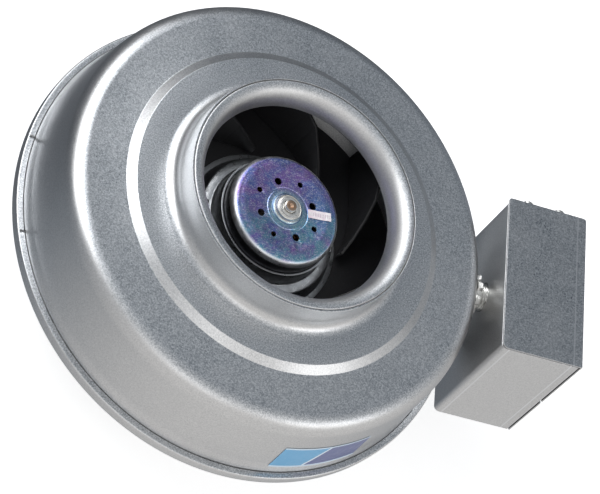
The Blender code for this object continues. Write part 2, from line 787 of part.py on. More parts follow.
def arm_loop():
    """Side outline of a bracket arm, in the (r, z) plane: flat arm, drop and foot on the cone."""
    slope = math.radians(cone_slope())
    cone_rise = (ARM_WIDTH / 2) ** 2 / (2 * FOOT_START_R) * math.tan(slope)
    lift = (BRACKET_SHEET + GAP) / math.cos(slope) + cone_rise
    foot_end = FOOT_START_R + FOOT_LENGTH
    outline = [
        (BRACKET_DISC_R - ARM_OVERLAP, bracket_top()),
        (ARM_DROP_R, bracket_top()),
        (FOOT_START_R, cone_inner_height(FOOT_START_R) + lift),
        (foot_end, cone_inner_height(FOOT_START_R) + lift + FOOT_LENGTH * math.tan(slope)),
    ]
    return thickened(outline, BRACKET_SHEET)


def arm_mesh():

    def build(bm):
        loop = arm_loop()
        near = [bm.verts.new((r, -ARM_WIDTH / 2, z)) for r, z in loop]
        far = [bm.verts.new((r, ARM_WIDTH / 2, z)) for r, z in loop]
        half = len(loop) // 2
        for k in range(len(loop)):
            n = (k + 1) % len(loop)
            bm.faces.new((near[k], near[n], far[n], far[k]))
        for side in (near, far):
            for k in range(half - 1):
                bm.faces.new((side[k], side[k + 1], side[-k - 2], side[-k - 1]))

    return closed_mesh(build)


def make_bracket():
    """Spider with a centre disc and four arms whose feet lie on the outlet cone."""
    top = bracket_top()
    disc = tube_loop(BEARING_R + 2 * GAP, BRACKET_DISC_R, top - BRACKET_SHEET, top)
    bracket = add("motor_bracket", ring_mesh(disc, SEGMENTS), GALVANISED)
    for i in range(BRACKET_ARMS):
        matrix = Matrix.Rotation(BRACKET_TURN + math.tau * i / BRACKET_ARMS, 4, "Z")
        combine(bracket, cutter(f"bracket_arm_{i + 1}", arm_mesh(), None, matrix), "UNION")
    for i in range(BRACKET_ARMS):
        hole = cylinder_mesh(SCREW_R + GAP, -0.002, 0.006, 12)
        combine(bracket, cutter(f"foot_hole_{i + 1}", hole, None, foot_matrix(i)), "DIFFERENCE")
    for i in range(FLANGE_SCREWS):
        hole = cylinder_mesh(SCREW_R + GAP, top - 0.004, top + 0.002, 12)
        combine(bracket, cutter(f"disc_hole_{i + 1}", hole, None, flange_screw_matrix(i)), "DIFFERENCE")


def screw_mesh(length):
    """Pan-head screw with its head's seat at z = 0, its head above and its shank below."""
    outline = [
        (0, SCREW_HEAD_HEIGHT),
        (SCREW_HEAD_R * 0.6, SCREW_HEAD_HEIGHT),
        (SCREW_HEAD_R, SCREW_HEAD_HEIGHT * 0.45),
        (SCREW_HEAD_R, 0),
        (SCREW_R, 0),
        (SCREW_R, -length),
        (0, -length),
    ]
    return turned_mesh(outline, 10)


def make_bracket_screws():
    upside_down = Matrix.Rotation(math.pi, 4, "X")
    for i in range(BRACKET_ARMS):
        screw = add(f"bracket_screw_{i + 1}", screw_mesh(0.008), ZINC)
        screw.matrix_local = foot_matrix(i) @ Matrix.Translation((0, 0, -SHEET - GAP)) @ upside_down
    for i in range(FLANGE_SCREWS):
        seat = bracket_top() - BRACKET_SHEET - GAP
        screw = add(f"flange_screw_{i + 1}", screw_mesh(0.0055), ZINC)
        screw.matrix_local = flange_screw_matrix(i) @ Matrix.Translation((0, 0, seat)) @ upside_down


# ---------------------------------------------------------------- terminal box

def terminal_matrix():
    """Frame on the side wall where the nipple leaves it: local +X is the nipple's axis."""
    place = Matrix.Translation((wall_radius(NIPPLE_DEPTH), NIPPLE_Y, at(NIPPLE_DEPTH)))
    return place @ Matrix.Rotation(-WALL_TAPER, 4, "Y") @ Matrix.Rotation(BOX_ROLL, 4, "X")


def box_limits(inset):
    """Opposite corners of the box, moved inwards by inset, in the terminal frame."""
    half_z = BOX_Z / 2 - inset
    low = (BOX_STANDOFF + inset, BOX_Y_OFFSET - BOX_Y / 2 + inset, BOX_Z_OFFSET - half_z)
    high = (BOX_STANDOFF + BOX_X - inset, BOX_Y_OFFSET + BOX_Y / 2 - inset, BOX_Z_OFFSET + half_z)
    return low, high


def side_matrix(x, inset):
    """Frame on the box's +Y face at x from its near wall and inset from its front: +Z points out."""
    high = box_limits(0)[1]
    place = Matrix.Translation((BOX_STANDOFF + x, high[1], high[2] - inset))
    return place @ Matrix.Rotation(-math.pi / 2, 4, "X")


def cover_screw_matrix(i):
    return side_matrix(COVER_SCREW_X[i], COVER_SCREW_INSET) @ Matrix.Translation((0, 0, GAP))


def knockout_matrix():
    """Frame at the middle of the box's back face, its +Z pointing into the box."""
    low, high = box_limits(0)
    return Matrix.Translation(((low[0] + high[0]) / 2, (low[1] + high[1]) / 2, low[2]))


def make_terminal_box(frame):
    """Folded tray of a back and three walls, open at its front and its outer side."""
    low, high = box_limits(0)
    side_y = high[1] - SHEET - GAP
    open_x = high[0] - SHEET - BOX_SEAM
    open_z = high[2] - SHEET - BOX_SEAM
    body_high = (high[0] + 3 * BOX_CORNER, side_y, open_z)
    box = add("terminal_box", block_mesh(low, body_high, BOX_CORNER), GALVANISED, frame)
    inner_low = tuple(v + BOX_SHEET for v in low)
    past = (high[0] + 5 * BOX_CORNER, side_y - BOX_SHEET, high[2] + SHEET)
    inner_corner = BOX_CORNER - BOX_SHEET
    combine(box, cutter("box_inside", block_mesh(inner_low, past, inner_corner), frame), "DIFFERENCE")
    end_low = (open_x, low[1] - SHEET, low[2] - SHEET)
    end_high = (high[0] + 6 * BOX_CORNER, high[1] + SHEET, high[2] + 2 * SHEET)
    combine(box, cutter("box_outer_side", block_mesh(end_low, end_high), frame), "DIFFERENCE")
    along_x = Matrix.Rotation(math.pi / 2, 4, "Y")
    hole = cylinder_mesh(NIPPLE_R + 2 * GAP, low[0] - SHEET, low[0] + 3 * SHEET)
    combine(box, cutter("box_nipple_hole", hole, frame, along_x), "DIFFERENCE")
    knockout = cylinder_mesh(KNOCKOUT_R, -SHEET, 3 * SHEET)
    combine(box, cutter("box_knockout_hole", knockout, frame, knockout_matrix()), "DIFFERENCE")
    for i in range(len(COVER_SCREW_X)):
        hole = cylinder_mesh(SCREW_R + GAP, -5 * SHEET, SHEET, 12)
        combine(box, cutter(f"box_screw_hole_{i + 1}", hole, frame, cover_screw_matrix(i)), "DIFFERENCE")
    plug_outline = [
        (0, BOX_SHEET),
        (KNOCKOUT_R - GAP, BOX_SHEET),
        (KNOCKOUT_R - GAP, -GAP),
        (KNOCKOUT_R + KNOCKOUT_RIM, -GAP),
        (KNOCKOUT_R + KNOCKOUT_RIM, -KNOCKOUT_PROUD),
        (0, -KNOCKOUT_PROUD),
    ]
    plug = add("knockout_plug", turned_mesh(plug_outline, 16), ZINC, frame)
    plug.matrix_local = knockout_matrix()


def make_cover(frame):
    """Bent sheet over the tray's front and outer side, with a flange for its two screws."""
    low, high = box_limits(0)
    outline = (BOX_CORNER, 0, COVER_CORNER, COVER_CORNER)
    cover = add("terminal_box_cover", panel_mesh(low, high, outline), GALVANISED, frame)
    room_low = tuple(v - 5 * BOX_CORNER for v in low)
    room_high = tuple(v - SHEET for v in high)
    room = panel_mesh(room_low, room_high, (0, 0, COVER_CORNER - SHEET, 0))
    combine(cover, cutter("cover_room", room, frame), "DIFFERENCE")
    flange_x = low[0] + BOX_CORNER
    side_low = (room_low[0], room_high[1] - SHEET, room_low[2])
    side_high = (flange_x, high[1] + SHEET, room_high[2])
    combine(cover, cutter("cover_flange_end", block_mesh(side_low, side_high), frame), "DIFFERENCE")
    flange_low = (flange_x - SHEET, room_high[1] - SHEET, room_low[2])
    flange_high = (high[0] - COVER_CORNER, high[1] + SHEET, high[2] - COVER_FLANGE)
    combine(cover, cutter("cover_flange_trim", block_mesh(flange_low, flange_high), frame), "DIFFERENCE")
    notch_z = high[2] - COVER_NOTCH_PLACE * BOX_Z
    notch_low = (high[0] - 3 * SHEET, low[1] - SHEET, notch_z - COVER_NOTCH_WIDTH / 2)
    notch_high = (high[0] + SHEET, low[1] + COVER_CORNER, notch_z + COVER_NOTCH_WIDTH / 2)
    combine(cover, cutter("cover_notch", block_mesh(notch_low, notch_high), frame), "DIFFERENCE")
    for i in range(len(COVER_SCREW_X)):
        hole = cylinder_mesh(SCREW_R + GAP, -3 * SHEET, SHEET, 12)
        name = f"cover_screw_hole_{i + 1}"
        combine(cover, cutter(name, hole, frame, cover_screw_matrix(i)), "DIFFERENCE")
        screw = add(f"cover_screw_{i + 1}", screw_mesh(COVER_SCREW_LENGTH), ZINC, frame)
        screw.matrix_local = cover_screw_matrix(i)


def make_nipple(frame):
    """Threaded tube from inside the casing to inside the box, with a locknut at each end."""
    inner_r = NIPPLE_R - NIPPLE_WALL
    end = BOX_STANDOFF + BOX_SHEET + NIPPLE_INSIDE
    along_x = Matrix.Rotation(math.pi / 2, 4, "Y")
    tube_mesh = ring_mesh(tube_loop(inner_r, NIPPLE_R, -NIPPLE_INSIDE, end), 24)
    tube = add("conduit_nipple", tube_mesh, ZINC, frame)
    tube.matrix_local = along_x
    bore = NIPPLE_R + GAP
    wall_r = wall_radius(NIPPLE_DEPTH)
    bulge = (LOCKNUT_R + NIPPLE_Y) ** 2 / (2 * wall_r) + wall_r * (1 - math.cos(math.pi / SEGMENTS))
    places = {
        "casing_locknut": -SHEET - bulge - GAP - LOCKNUT_THICKNESS,
        "outer_locknut": 2 * GAP,
        "box_locknut": BOX_STANDOFF + BOX_SHEET + GAP,
    }
    for name, start in places.items():
        nut_loop = tube_loop(bore, LOCKNUT_R, start, start + LOCKNUT_THICKNESS)
        nut = add(name, ring_mesh(nut_loop, 16), ZINC, frame)
        nut.matrix_local = along_x


def block_limits():
    """Opposite corners of the terminal block, in the terminal frame."""
    low = box_limits(BOX_SHEET)[0]
    block_z = BOX_Z_OFFSET + TERMINAL_BLOCK_Z - TERMINAL_BLOCK[2] / 2
    start = (low[0] + TERMINAL_BLOCK_X, BOX_Y_OFFSET + TERMINAL_BLOCK_Y, block_z)
    return start, tuple(a + b for a, b in zip(start, TERMINAL_BLOCK))


def make_box_contents(frame):
    """Capacitor in its clip, terminal block and earth screw."""
    low, high = box_limits(BOX_SHEET)
    centre_x = high[0] - CAPACITOR_R - CLIP_STANDOFF
    centre = (centre_x, BOX_Y_OFFSET + CAPACITOR_Y, BOX_Z_OFFSET + CAPACITOR_Z)
    along_y = Matrix.Translation(centre) @ Matrix.Rotation(-math.pi / 2, 4, "X")
    half = CAPACITOR_LENGTH / 2
    can = [
        (0, half),
        (CAPACITOR_R - CAPACITOR_EDGE, half),
        (CAPACITOR_R, half - CAPACITOR_EDGE),
        (CAPACITOR_R, -half),
        (0, -half),
    ]
    capacitor = add("capacitor", turned_mesh(can, 24), WHITE_PLASTIC, frame)
    capacitor.matrix_local = along_y
    clip_inner = CAPACITOR_R + GAP
    clip_loop = tube_loop(clip_inner, clip_inner + SHEET, -CLIP_WIDTH / 2, CLIP_WIDTH / 2)
    clip_mesh = ring_mesh(clip_loop, 16, math.radians(300), math.radians(30))
    clip = add("capacitor_clip", clip_mesh, ZINC, frame)
    clip.matrix_local = along_y
    block_low, block_high = block_limits()
    add("terminal_block", block_mesh(block_low, block_high, TERMINAL_BLOCK_EDGE), WHITE_PLASTIC, frame)
    earth = add("earth_screw", screw_mesh(EARTH_SCREW_LENGTH), GREEN_SCREW, frame)
    spot_x = low[0] + 2 * GAP + EARTH_SCREW_LENGTH
    spot = (spot_x, BOX_Y_OFFSET + EARTH_SCREW_Y, BOX_Z_OFFSET + EARTH_SCREW_Z)
    earth.matrix_local = Matrix.Translation(spot) @ Matrix.Rotation(math.pi / 2, 4, "Y")


def lead_points(frame_matrix):
    """Route of the motor's lead: across the casing, up its wall, through the nipple to the block."""
    start_z = bracket_top() + LEAD_R + GAP
    wall_r = wall_radius(SEAM_DEPTH) - LEAD_WALL_SPACE
    nipple_z = at(NIPPLE_DEPTH)
    inside = [
        Vector((FLANGE_R + GAP * 2, 0, start_z)),
        Vector((FLANGE_R + LEAD_SLACK, 0, start_z)),
        Vector((wall_r - LEAD_SLACK, NIPPLE_Y / 2, start_z)),
        Vector((wall_r, NIPPLE_Y, (start_z + nipple_z) / 2)),
    ]
    block_low, block_high = block_limits()
    end = (block_low[0] + TERMINAL_BLOCK[0] / 2, block_high[1] + LEAD_R, block_low[2] + TERMINAL_BLOCK[2] / 2)
    through = [(-NIPPLE_INSIDE, 0, 0), (0, 0, 0), (BOX_STANDOFF, 0, 0), (BOX_STANDOFF + NIPPLE_INSIDE, 0, 0)]
    through.append((end[0] - LEAD_R, end[1] + LEAD_TURN, end[2] - LEAD_R))
    through.append(end)
    return inside + [frame_matrix @ Vector(point) for point in through]


def smooth_route(points, steps):
    """Catmull-Rom curve through the route's points."""
    ends = [points[0] * 2 - points[1]] + points + [points[-1] * 2 - points[-2]]
    route = []
    for a, b, c, d in zip(ends, ends[1:], ends[2:], ends[3:]):
        for i in range(steps):
            t = i / steps
            square = (2 * a - 5 * b + 4 * c - d) * t * t
            cube = (3 * b - a - 3 * c + d) * t**3
            route.append(0.5 * (2 * b + (c - a) * t + square + cube))
    route.append(points[-1])
    return route


def make_lead():
    route = smooth_route(lead_points(terminal_matrix()), 3)
    curve = bpy.data.curves.new("motor_lead", "CURVE")
    curve.dimensions = "3D"
    spline = curve.splines.new("POLY")
    spline.points.add(len(route) - 1)
    for point, place in zip(spline.points, route):
        point.co = (*place, 1)
    curve.bevel_depth = LEAD_R
    curve.bevel_resolution = 2
    curve.use_fill_caps = True
    curve.materials.append(material("motor_lead", *GREY_SHEATH))
    lead = bpy.data.objects.new("motor_lead", curve)
    bpy.context.collection.objects.link(lead)


def make_label():
    """Thin sticker that follows the inlet casing's side wall."""
    columns = 6
    depths = (LABEL_TOP_DEPTH, (LABEL_TOP_DEPTH + FLARE_DEPTH) / 2, FLARE_DEPTH, LABEL_BOTTOM_DEPTH)

    def build(bm):
        sheets = []
        for lift in (2 * GAP, 2 * GAP + LABEL_THICKNESS):
            grid = []
            for i in range(columns + 1):
                angle = math.radians(LABEL_START_DEG + (LABEL_END_DEG - LABEL_START_DEG) * i / columns)
                line = []
                for depth in depths:
                    r = wall_radius(depth) + lift
                    line.append(bm.verts.new((r * math.cos(angle), r * math.sin(angle), at(depth))))
                grid.append(line)
            sheets.append(grid)
            for a, b in zip(grid, grid[1:]):
                for k in range(len(depths) - 1):
                    bm.faces.new((a[k], a[k + 1], b[k + 1], b[k]))
        inner, outer = sheets
        edge = [(i, 0) for i in range(columns + 1)]
        edge += [(columns, k) for k in range(1, len(depths))]
        edge += [(i, len(depths) - 1) for i in range(columns - 1, -1, -1)]
        edge += [(0, k) for k in range(len(depths) - 2, 0, -1)]
        for (i, k), (m, n) in zip(edge, edge[1:] + edge[:1]):
            bm.faces.new((inner[i][k], inner[m][n], outer[m][n], outer[i][k]))

    add("label_sticker", closed_mesh(build), BLUE_LABEL)


# ---------------------------------------------------------------- assembly

def main():
    for old in list(bpy.data.objects):
        bpy.data.objects.remove(old, do_unlink=True)
    turning = empty("rotor_axis", Matrix.Identity(4))
    terminal_frame = empty("terminal_frame", terminal_matrix())
    make_inlet_casing(terminal_frame)
    make_outlet_casing()
    make_inlet_ring()
    make_shroud(turning)
    make_back_plate(turning)
    make_hub(turning)
    make_blades(turning)
    make_rotor(turning)
    make_shaft(turning)
    make_rotor_sticker(turning)
    make_stator()
    make_bracket()
    make_bracket_screws()
    make_terminal_box(terminal_frame)
    make_cover(terminal_frame)
    make_nipple(terminal_frame)
    make_box_contents(terminal_frame)
    make_lead()
    make_label()


main()
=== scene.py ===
"""Looks of the inline duct fan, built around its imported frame. Metres, +Z towards the inlet."""
import math

import bmesh
import bpy
from mathutils import Matrix, Vector


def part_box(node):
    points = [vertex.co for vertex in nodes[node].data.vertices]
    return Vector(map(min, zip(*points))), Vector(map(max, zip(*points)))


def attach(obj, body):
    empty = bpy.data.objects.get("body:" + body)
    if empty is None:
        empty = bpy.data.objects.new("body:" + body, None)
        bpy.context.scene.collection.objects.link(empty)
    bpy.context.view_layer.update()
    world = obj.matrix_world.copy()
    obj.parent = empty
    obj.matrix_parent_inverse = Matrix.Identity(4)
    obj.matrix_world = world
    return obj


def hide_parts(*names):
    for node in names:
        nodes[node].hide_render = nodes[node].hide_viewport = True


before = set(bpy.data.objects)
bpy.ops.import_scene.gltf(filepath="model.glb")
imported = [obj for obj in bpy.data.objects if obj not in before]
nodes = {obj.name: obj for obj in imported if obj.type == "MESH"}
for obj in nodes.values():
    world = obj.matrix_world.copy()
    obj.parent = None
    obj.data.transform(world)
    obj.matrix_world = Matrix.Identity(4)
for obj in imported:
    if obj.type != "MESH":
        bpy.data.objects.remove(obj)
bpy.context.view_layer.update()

# ---------------------------------------------------------------- sizes

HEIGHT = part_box("inlet_casing")[1].z
SHEET = 0.001
GAP = 0.0003
AROUND = 288
EDGE = 0.00025

SPIGOT_R = 0.0745
SPIGOT_STRAIGHT = 0.0148
SPIGOT_FILLET = 0.008
STEP_R = 0.0984
STEP_WIDTH = 0.0058
STEP_DROP = 0.0032
STEP_EASE = 0.0006
CORNER_START_R = 0.1275
CORNER_RADIUS = 0.0115
WALL_TAPER = math.radians(6.5)
FLARE_DEPTH = 0.070
SEAM_DEPTH = 0.080
SEAM_FLARE = 0.0023
SEAM_FLANGE = 0.0031
HEM_WIDTH = 0.0042
HEM_ROUND = 0.0012
RIM_HEIGHT = 0.0058
RIM_CORNER = 0.004
HEM_SLITS = (math.radians(170.5), math.radians(-164.8))

THROAT_R = 0.0626
THROAT_DEPTH = 0.0137
NOZZLE_LENGTH = 0.0008
RING_SKIRT = 0.006

IMPELLER_R = 0.095
SHROUD_TOP_DEPTH = 0.0115
SHROUD_BEND = 0.010
SHROUD_SLOPE = math.radians(20)
PLASTIC = 0.0015
PLASTIC_EDGE = 0.0005
PLATE_DEPTH = 0.0605
PLATE_DISH = 0.003
BLADES = 7
HUB_LIP_DEPTH = 0.037
HUB_SHELF_DEPTH = 0.049
HUB_SHELF_R = 0.0435
HUB_FLANGE_R = 0.0512
HUB_HOLES = 2
HUB_HOLE_R = 0.0014
HUB_HOLE_TURN = math.radians(177)

ROTOR_R = 0.0358
ROTOR_DEPTH = 0.0247
ROTOR_LENGTH = 0.0473
ROTOR_EDGE = 0.0045
BOSS_R = 0.008
BOSS_HEIGHT = 0.0038
LARGE_HOLE = (0.00235, 0.0182, math.radians(25))
SMALL_HOLE = (0.0018, 0.0203, math.radians(70))
SHAFT_R = 0.004
SHAFT_TIP_DEPTH = 0.019

NIPPLE_DEPTH = 0.0465
NIPPLE_Y = -0.0014
NIPPLE_R = 0.0088
NIPPLE_WALL = 0.0018
NIPPLE_INSIDE = 0.007
THREAD_PITCH = 0.00181
THREAD_DEPTH = 0.0008
LOCKNUT_R = 0.0135
LOCKNUT_THICKNESS = 0.0035
BOX_STANDOFF = 0.0094
BOX_X = 0.0535
BOX_Y = 0.105
BOX_Z = 0.0995
BOX_Y_OFFSET = 0.00186
BOX_Z_OFFSET = -0.01535
BOX_ROLL = math.radians(-1.7)
BOX_SHEET = 0.0012
BOX_CORNER = 0.0035
BOX_SEAM = 0.0008
COVER_CORNER = 0.002
NOTCH_WIDTH = 0.0025
NOTCH_PLACE = 0.55
COVER_FLANGE = 0.009
COVER_SCREW_X = (0.0140, 0.0357)
COVER_SCREW_INSET = 0.0039
KNOCKOUT_R = 0.011

LABEL_DEGREES = (-78.5, -54.2)
LABEL_DEPTHS = (0.050, 0.0745)
STICKER = (0.0155, 0.0055)
STICKER_R = 0.0217
STICKER_TURN = math.radians(8)


def at(depth):
    return HEIGHT - depth


# ---------------------------------------------------------------- node helpers


class Shader:
    """Short-hand for building one material's node tree."""

    def __init__(self, name, colour, roughness, metallic, coat=0.0):
        self.material = bpy.data.materials.new(name)
        self.material.use_nodes = True
        self.tree = self.material.node_tree
        self.out = self.tree.nodes["Principled BSDF"]
        self.out.inputs["Base Color"].default_value = (*colour, 1)
        self.out.inputs["Roughness"].default_value = roughness
        self.out.inputs["Metallic"].default_value = metallic
        self.out.inputs["Coat Weight"].default_value = coat
        self.place = self.tree.nodes.new("ShaderNodeTexCoord").outputs["Object"]
        self.uv = None

    def node(self, kind, **values):
        made = self.tree.nodes.new(kind)
        for key, value in values.items():
            setattr(made, key, value)
        return made

    def link(self, a, b):
        self.tree.links.new(a, b)

    def scaled(self, scale, source=None):
        """The piece's own coordinates stretched by a scale along each axis."""
        made = self.node("ShaderNodeMapping")
        made.inputs["Scale"].default_value = scale
        self.link(source or self.place, made.inputs["Vector"])
        return made.outputs["Vector"]

    def noise(self, scale, detail=3.0, rough=0.55, vector=None, distortion=0.0):
        made = self.node("ShaderNodeTexNoise")
        made.inputs["Scale"].default_value = scale
        made.inputs["Detail"].default_value = detail
        made.inputs["Roughness"].default_value = rough
        made.inputs["Distortion"].default_value = distortion
        self.link(vector or self.place, made.inputs["Vector"])
        return made.outputs["Fac"]

    def remap(self, value, low, high, to_low=0.0, to_high=1.0, smooth=False):
        made = self.node("ShaderNodeMapRange")
        if smooth:
            made.interpolation_type = "SMOOTHSTEP"
        self.link(value, made.inputs["Value"])
        made.inputs["From Min"].default_value = low
        made.inputs["From Max"].default_value = high
        made.inputs["To Min"].default_value = to_low
        made.inputs["To Max"].default_value = to_high
        return made.outputs["Result"]

    def math(self, operation, a, b=None):
        made = self.node("ShaderNodeMath", operation=operation)
        for slot, value in enumerate((a, b)):
            if value is None:
                continue
            if isinstance(value, (int, float)):
                made.inputs[slot].default_value = value
            else:
                self.link(value, made.inputs[slot])
        return made.outputs[0]

    def mix(self, factor, a, b, blend="MIX"):
        made = self.node("ShaderNodeMix", data_type="RGBA", blend_type=blend)
        factor_in, a_in, b_in = made.inputs[0], made.inputs[6], made.inputs[7]
        for slot, value in ((factor_in, factor), (a_in, a), (b_in, b)):
            if isinstance(value, (int, float)):
                slot.default_value = value
            elif isinstance(value, tuple):
                slot.default_value = (*value, 1)
            else:
                self.link(value, slot)
        return made.outputs[2]

    def split(self, vector):
        made = self.node("ShaderNodeSeparateXYZ")
        self.link(vector, made.inputs[0])
        return made.outputs

    def bump(self, height, strength, distance):
        made = self.node("ShaderNodeBump")
        made.inputs["Strength"].default_value = strength
        made.inputs["Distance"].default_value = distance
        self.link(height, made.inputs["Height"])
        last = self.out.inputs["Normal"]
        if last.is_linked:
            self.link(last.links[0].from_socket, made.inputs["Normal"])
        self.link(made.outputs["Normal"], last)

    def colour(self, socket):
        self.link(socket, self.out.inputs["Base Color"])

    def rough(self, socket):
        self.link(socket, self.out.inputs["Roughness"])

# ---------------------------------------------------------------- materials


def galvanised(name, bright=1.0, roughness=0.34, painted_highlight_lines=()):
    """Galvanised sheet: fine speckle on the flats, a painted lightening to a plainer, warmer grey on
    surfaces that lean away from flat, and painted highlight lines across x at the given places.
    """
    s = Shader(name, (0.6, 0.62, 0.65), roughness, 1.0)
    speck = s.noise(1150, 3, 0.75)
    grain = s.noise(700, 3, 0.6)
    cloud = s.noise(42, 4, 0.6)
    low = tuple(c * bright for c in (0.27, 0.30, 0.33))
    high = tuple(c * bright for c in (0.88, 0.90, 0.92))
    base = s.mix(s.remap(speck, 0.36, 0.64), low, high)
    base = s.mix(s.remap(grain, 0.35, 0.65, 0.0, 0.35), base, tuple(c * bright for c in (0.58, 0.60, 0.63)))
    base = s.mix(s.remap(cloud, 0.35, 0.7, 0.0, 0.25), base, tuple(c * bright for c in (0.57, 0.58, 0.60)))
    # Painted light: surfaces that lean away from flat are lightened to a plain warm grey, standing in for
    # the sheen the walls catch; the plainer speckle there also stands for the smoother spangle of drawn
    # sheet.
    plain = s.node("ShaderNodeNewGeometry")
    tilt = s.math("ABSOLUTE", s.split(plain.outputs["Normal"])[2])
    painted_wall_light = s.remap(tilt, 0.97, 0.75, 0.0, 0.65)
    base = s.mix(painted_wall_light, base, tuple(c * bright for c in (0.68, 0.67, 0.66)))
    x = s.split(s.place)[0]
    # Painted highlight: a thin light line across x at each given place, standing in for the glint along the
    # box's folded edges.
    for place in painted_highlight_lines:
        line = s.remap(s.math("ABSOLUTE", s.math("SUBTRACT", x, place)), 0.0006, 0.0003, 0.0, 0.8)
        base = s.mix(line, base, tuple(c * bright for c in (0.80, 0.81, 0.83)))
    s.colour(base)
    speck_rough = s.remap(speck, 0.3, 0.7, roughness - 0.05, roughness + 0.05)
    cloud_rough = s.remap(cloud, 0.3, 0.7, -0.03, 0.04)
    s.rough(s.math("ADD", speck_rough, cloud_rough))
    s.bump(speck, 0.5, 0.00007)
    s.bump(s.noise(60, 2, 0.5), 0.2, 0.0003)
    return s


def zinc(name, colour=(0.72, 0.72, 0.70), roughness=0.26):
    """Bright zinc plate: fine grain and small dull patches."""
    s = Shader(name, colour, roughness, 1.0)
    patch = s.noise(240, 4, 0.6)
    fine = s.noise(2200, 2, 0.5)
    dark = tuple(c * 0.62 for c in colour)
    s.colour(s.mix(s.remap(patch, 0.45, 0.75, 0.0, 0.7), colour, dark))
    patch_rough = s.remap(patch, 0.3, 0.7, roughness - 0.05, roughness + 0.12)
    fine_rough = s.remap(fine, 0.3, 0.7, -0.03, 0.03)
    s.rough(s.math("ADD", patch_rough, fine_rough))
    s.bump(fine, 0.3, 0.00003)
    return s


def passivated(name):
    """Blue, violet and teal passivate on the rotor, with white specks and scratches."""
    s = Shader(name, (0.16, 0.20, 0.45), 0.3, 0.95)
    x, y, z = s.split(s.place)[:3]
    face = at(ROTOR_DEPTH)
    radius = s.math("POWER", s.math("ADD", s.math("MULTIPLY", x, x), s.math("MULTIPLY", y, y)), 0.5)
    drift = s.noise(70, 4, 0.65, distortion=0.6)
    tone = s.mix(s.remap(drift, 0.40, 0.60), (0.12, 0.17, 0.46), (0.24, 0.15, 0.44))
    lower = s.math("ADD", s.math("MULTIPLY", y, -1.0), s.math("MULTIPLY", x, 0.35))
    teal_side = s.remap(lower, -0.016, 0.016, smooth=True)
    teal_cloud = s.remap(s.noise(120, 4, 0.65), 0.36, 0.58)
    teal = s.math("MULTIPLY", teal_side, teal_cloud)
    tone = s.mix(s.math("MULTIPLY", teal, 0.85), tone, (0.12, 0.36, 0.46))
    near = s.remap(radius, 0.0155, 0.0095)
    tone = s.mix(s.math("MULTIPLY", near, 0.8), tone, (0.26, 0.46, 0.52))
    speck = s.remap(s.noise(1250, 3, 0.75), 0.545, 0.62)
    scratch = s.remap(s.noise(420, 2, 0.5, s.scaled((1, 7, 1))), 0.61, 0.67)
    marks = s.math("MAXIMUM", s.math("MULTIPLY", speck, 0.62), s.math("MULTIPLY", scratch, 0.6))
    tone = s.mix(marks, tone, (0.78, 0.80, 0.88))
    line = s.remap(s.math("ABSOLUTE", s.math("SUBTRACT", radius, 0.0098)), 0.0005, 0.0002, 0.0, 0.7)
    tone = s.mix(line, tone, (0.05, 0.07, 0.22))
    boss = s.remap(z, face + 0.0004, face + 0.0012)
    tone = s.mix(boss, tone, (0.78, 0.77, 0.74))
    rim = s.remap(z, face - 0.0003, face - 0.0012)
    tone = s.mix(s.math("MULTIPLY", rim, 0.95), tone, (0.90, 0.91, 0.94))
    side = s.remap(z, face - 0.0042, face - 0.0052)
    tone = s.mix(side, tone, (0.05, 0.05, 0.06))
    s.colour(tone)
    s.rough(s.remap(s.noise(300, 3, 0.6), 0.3, 0.7, 0.26, 0.46))
    s.bump(s.noise(700, 3, 0.6), 0.3, 0.00005)
    return s


def black_plastic(name):
    """Satin black glass-filled plastic: fine grain, flow clouds and dust."""
    s = Shader(name, (0.018, 0.018, 0.020), 0.42, 0.0)
    dust = s.remap(s.noise(800, 4, 0.7), 0.58, 0.72)
    flow = s.noise(40, 3, 0.5)
    s.colour(s.mix(s.math("MULTIPLY", dust, 0.35), (0.016, 0.016, 0.018), (0.09, 0.09, 0.095)))
    s.rough(s.remap(flow, 0.3, 0.7, 0.34, 0.5))
    s.bump(s.noise(1800, 2, 0.5), 0.25, 0.00005)
    return s


def plain_metal(name, colour, roughness, grain=600, metallic=1.0):
    s = Shader(name, colour, roughness, metallic)
    patch = s.noise(grain, 4, 0.6)
    dark = tuple(c * 0.6 for c in colour)
    s.colour(s.mix(s.remap(patch, 0.4, 0.75, 0.0, 0.8), colour, dark))
    s.rough(s.remap(patch, 0.3, 0.7, roughness - 0.06, roughness + 0.1))
    s.bump(s.noise(grain * 2.5, 3, 0.6), 0.4, 0.00008)
    return s


def moulded(name, colour, roughness=0.4):
    s = Shader(name, colour, roughness, 0.0)
    flow = s.noise(90, 3, 0.5)
    dark = tuple(c * 0.88 for c in colour)
    s.colour(s.mix(s.remap(flow, 0.35, 0.7), colour, dark))
    s.rough(s.remap(flow, 0.3, 0.7, roughness - 0.05, roughness + 0.08))
    s.bump(s.noise(1600, 2, 0.5), 0.3, 0.00005)
    return s


def copper(name):
    """Varnished winding: wires lying round the ring."""
    s = Shader(name, (0.55, 0.24, 0.11), 0.35, 0.75, coat=0.4)
    x, y, z = s.split(s.place)[:3]
    radius = s.math("POWER", s.math("ADD", s.math("MULTIPLY", x, x), s.math("MULTIPLY", y, y)), 0.5)
    wires = s.math("SINE", s.math("MULTIPLY", s.math("ADD", radius, z), 9000))
    s.colour(s.mix(s.remap(wires, -1, 1), (0.30, 0.10, 0.04), (0.62, 0.29, 0.13)))
    s.rough(s.remap(s.noise(500), 0.3, 0.7, 0.28, 0.45))
    s.bump(wires, 0.6, 0.0002)
    return s


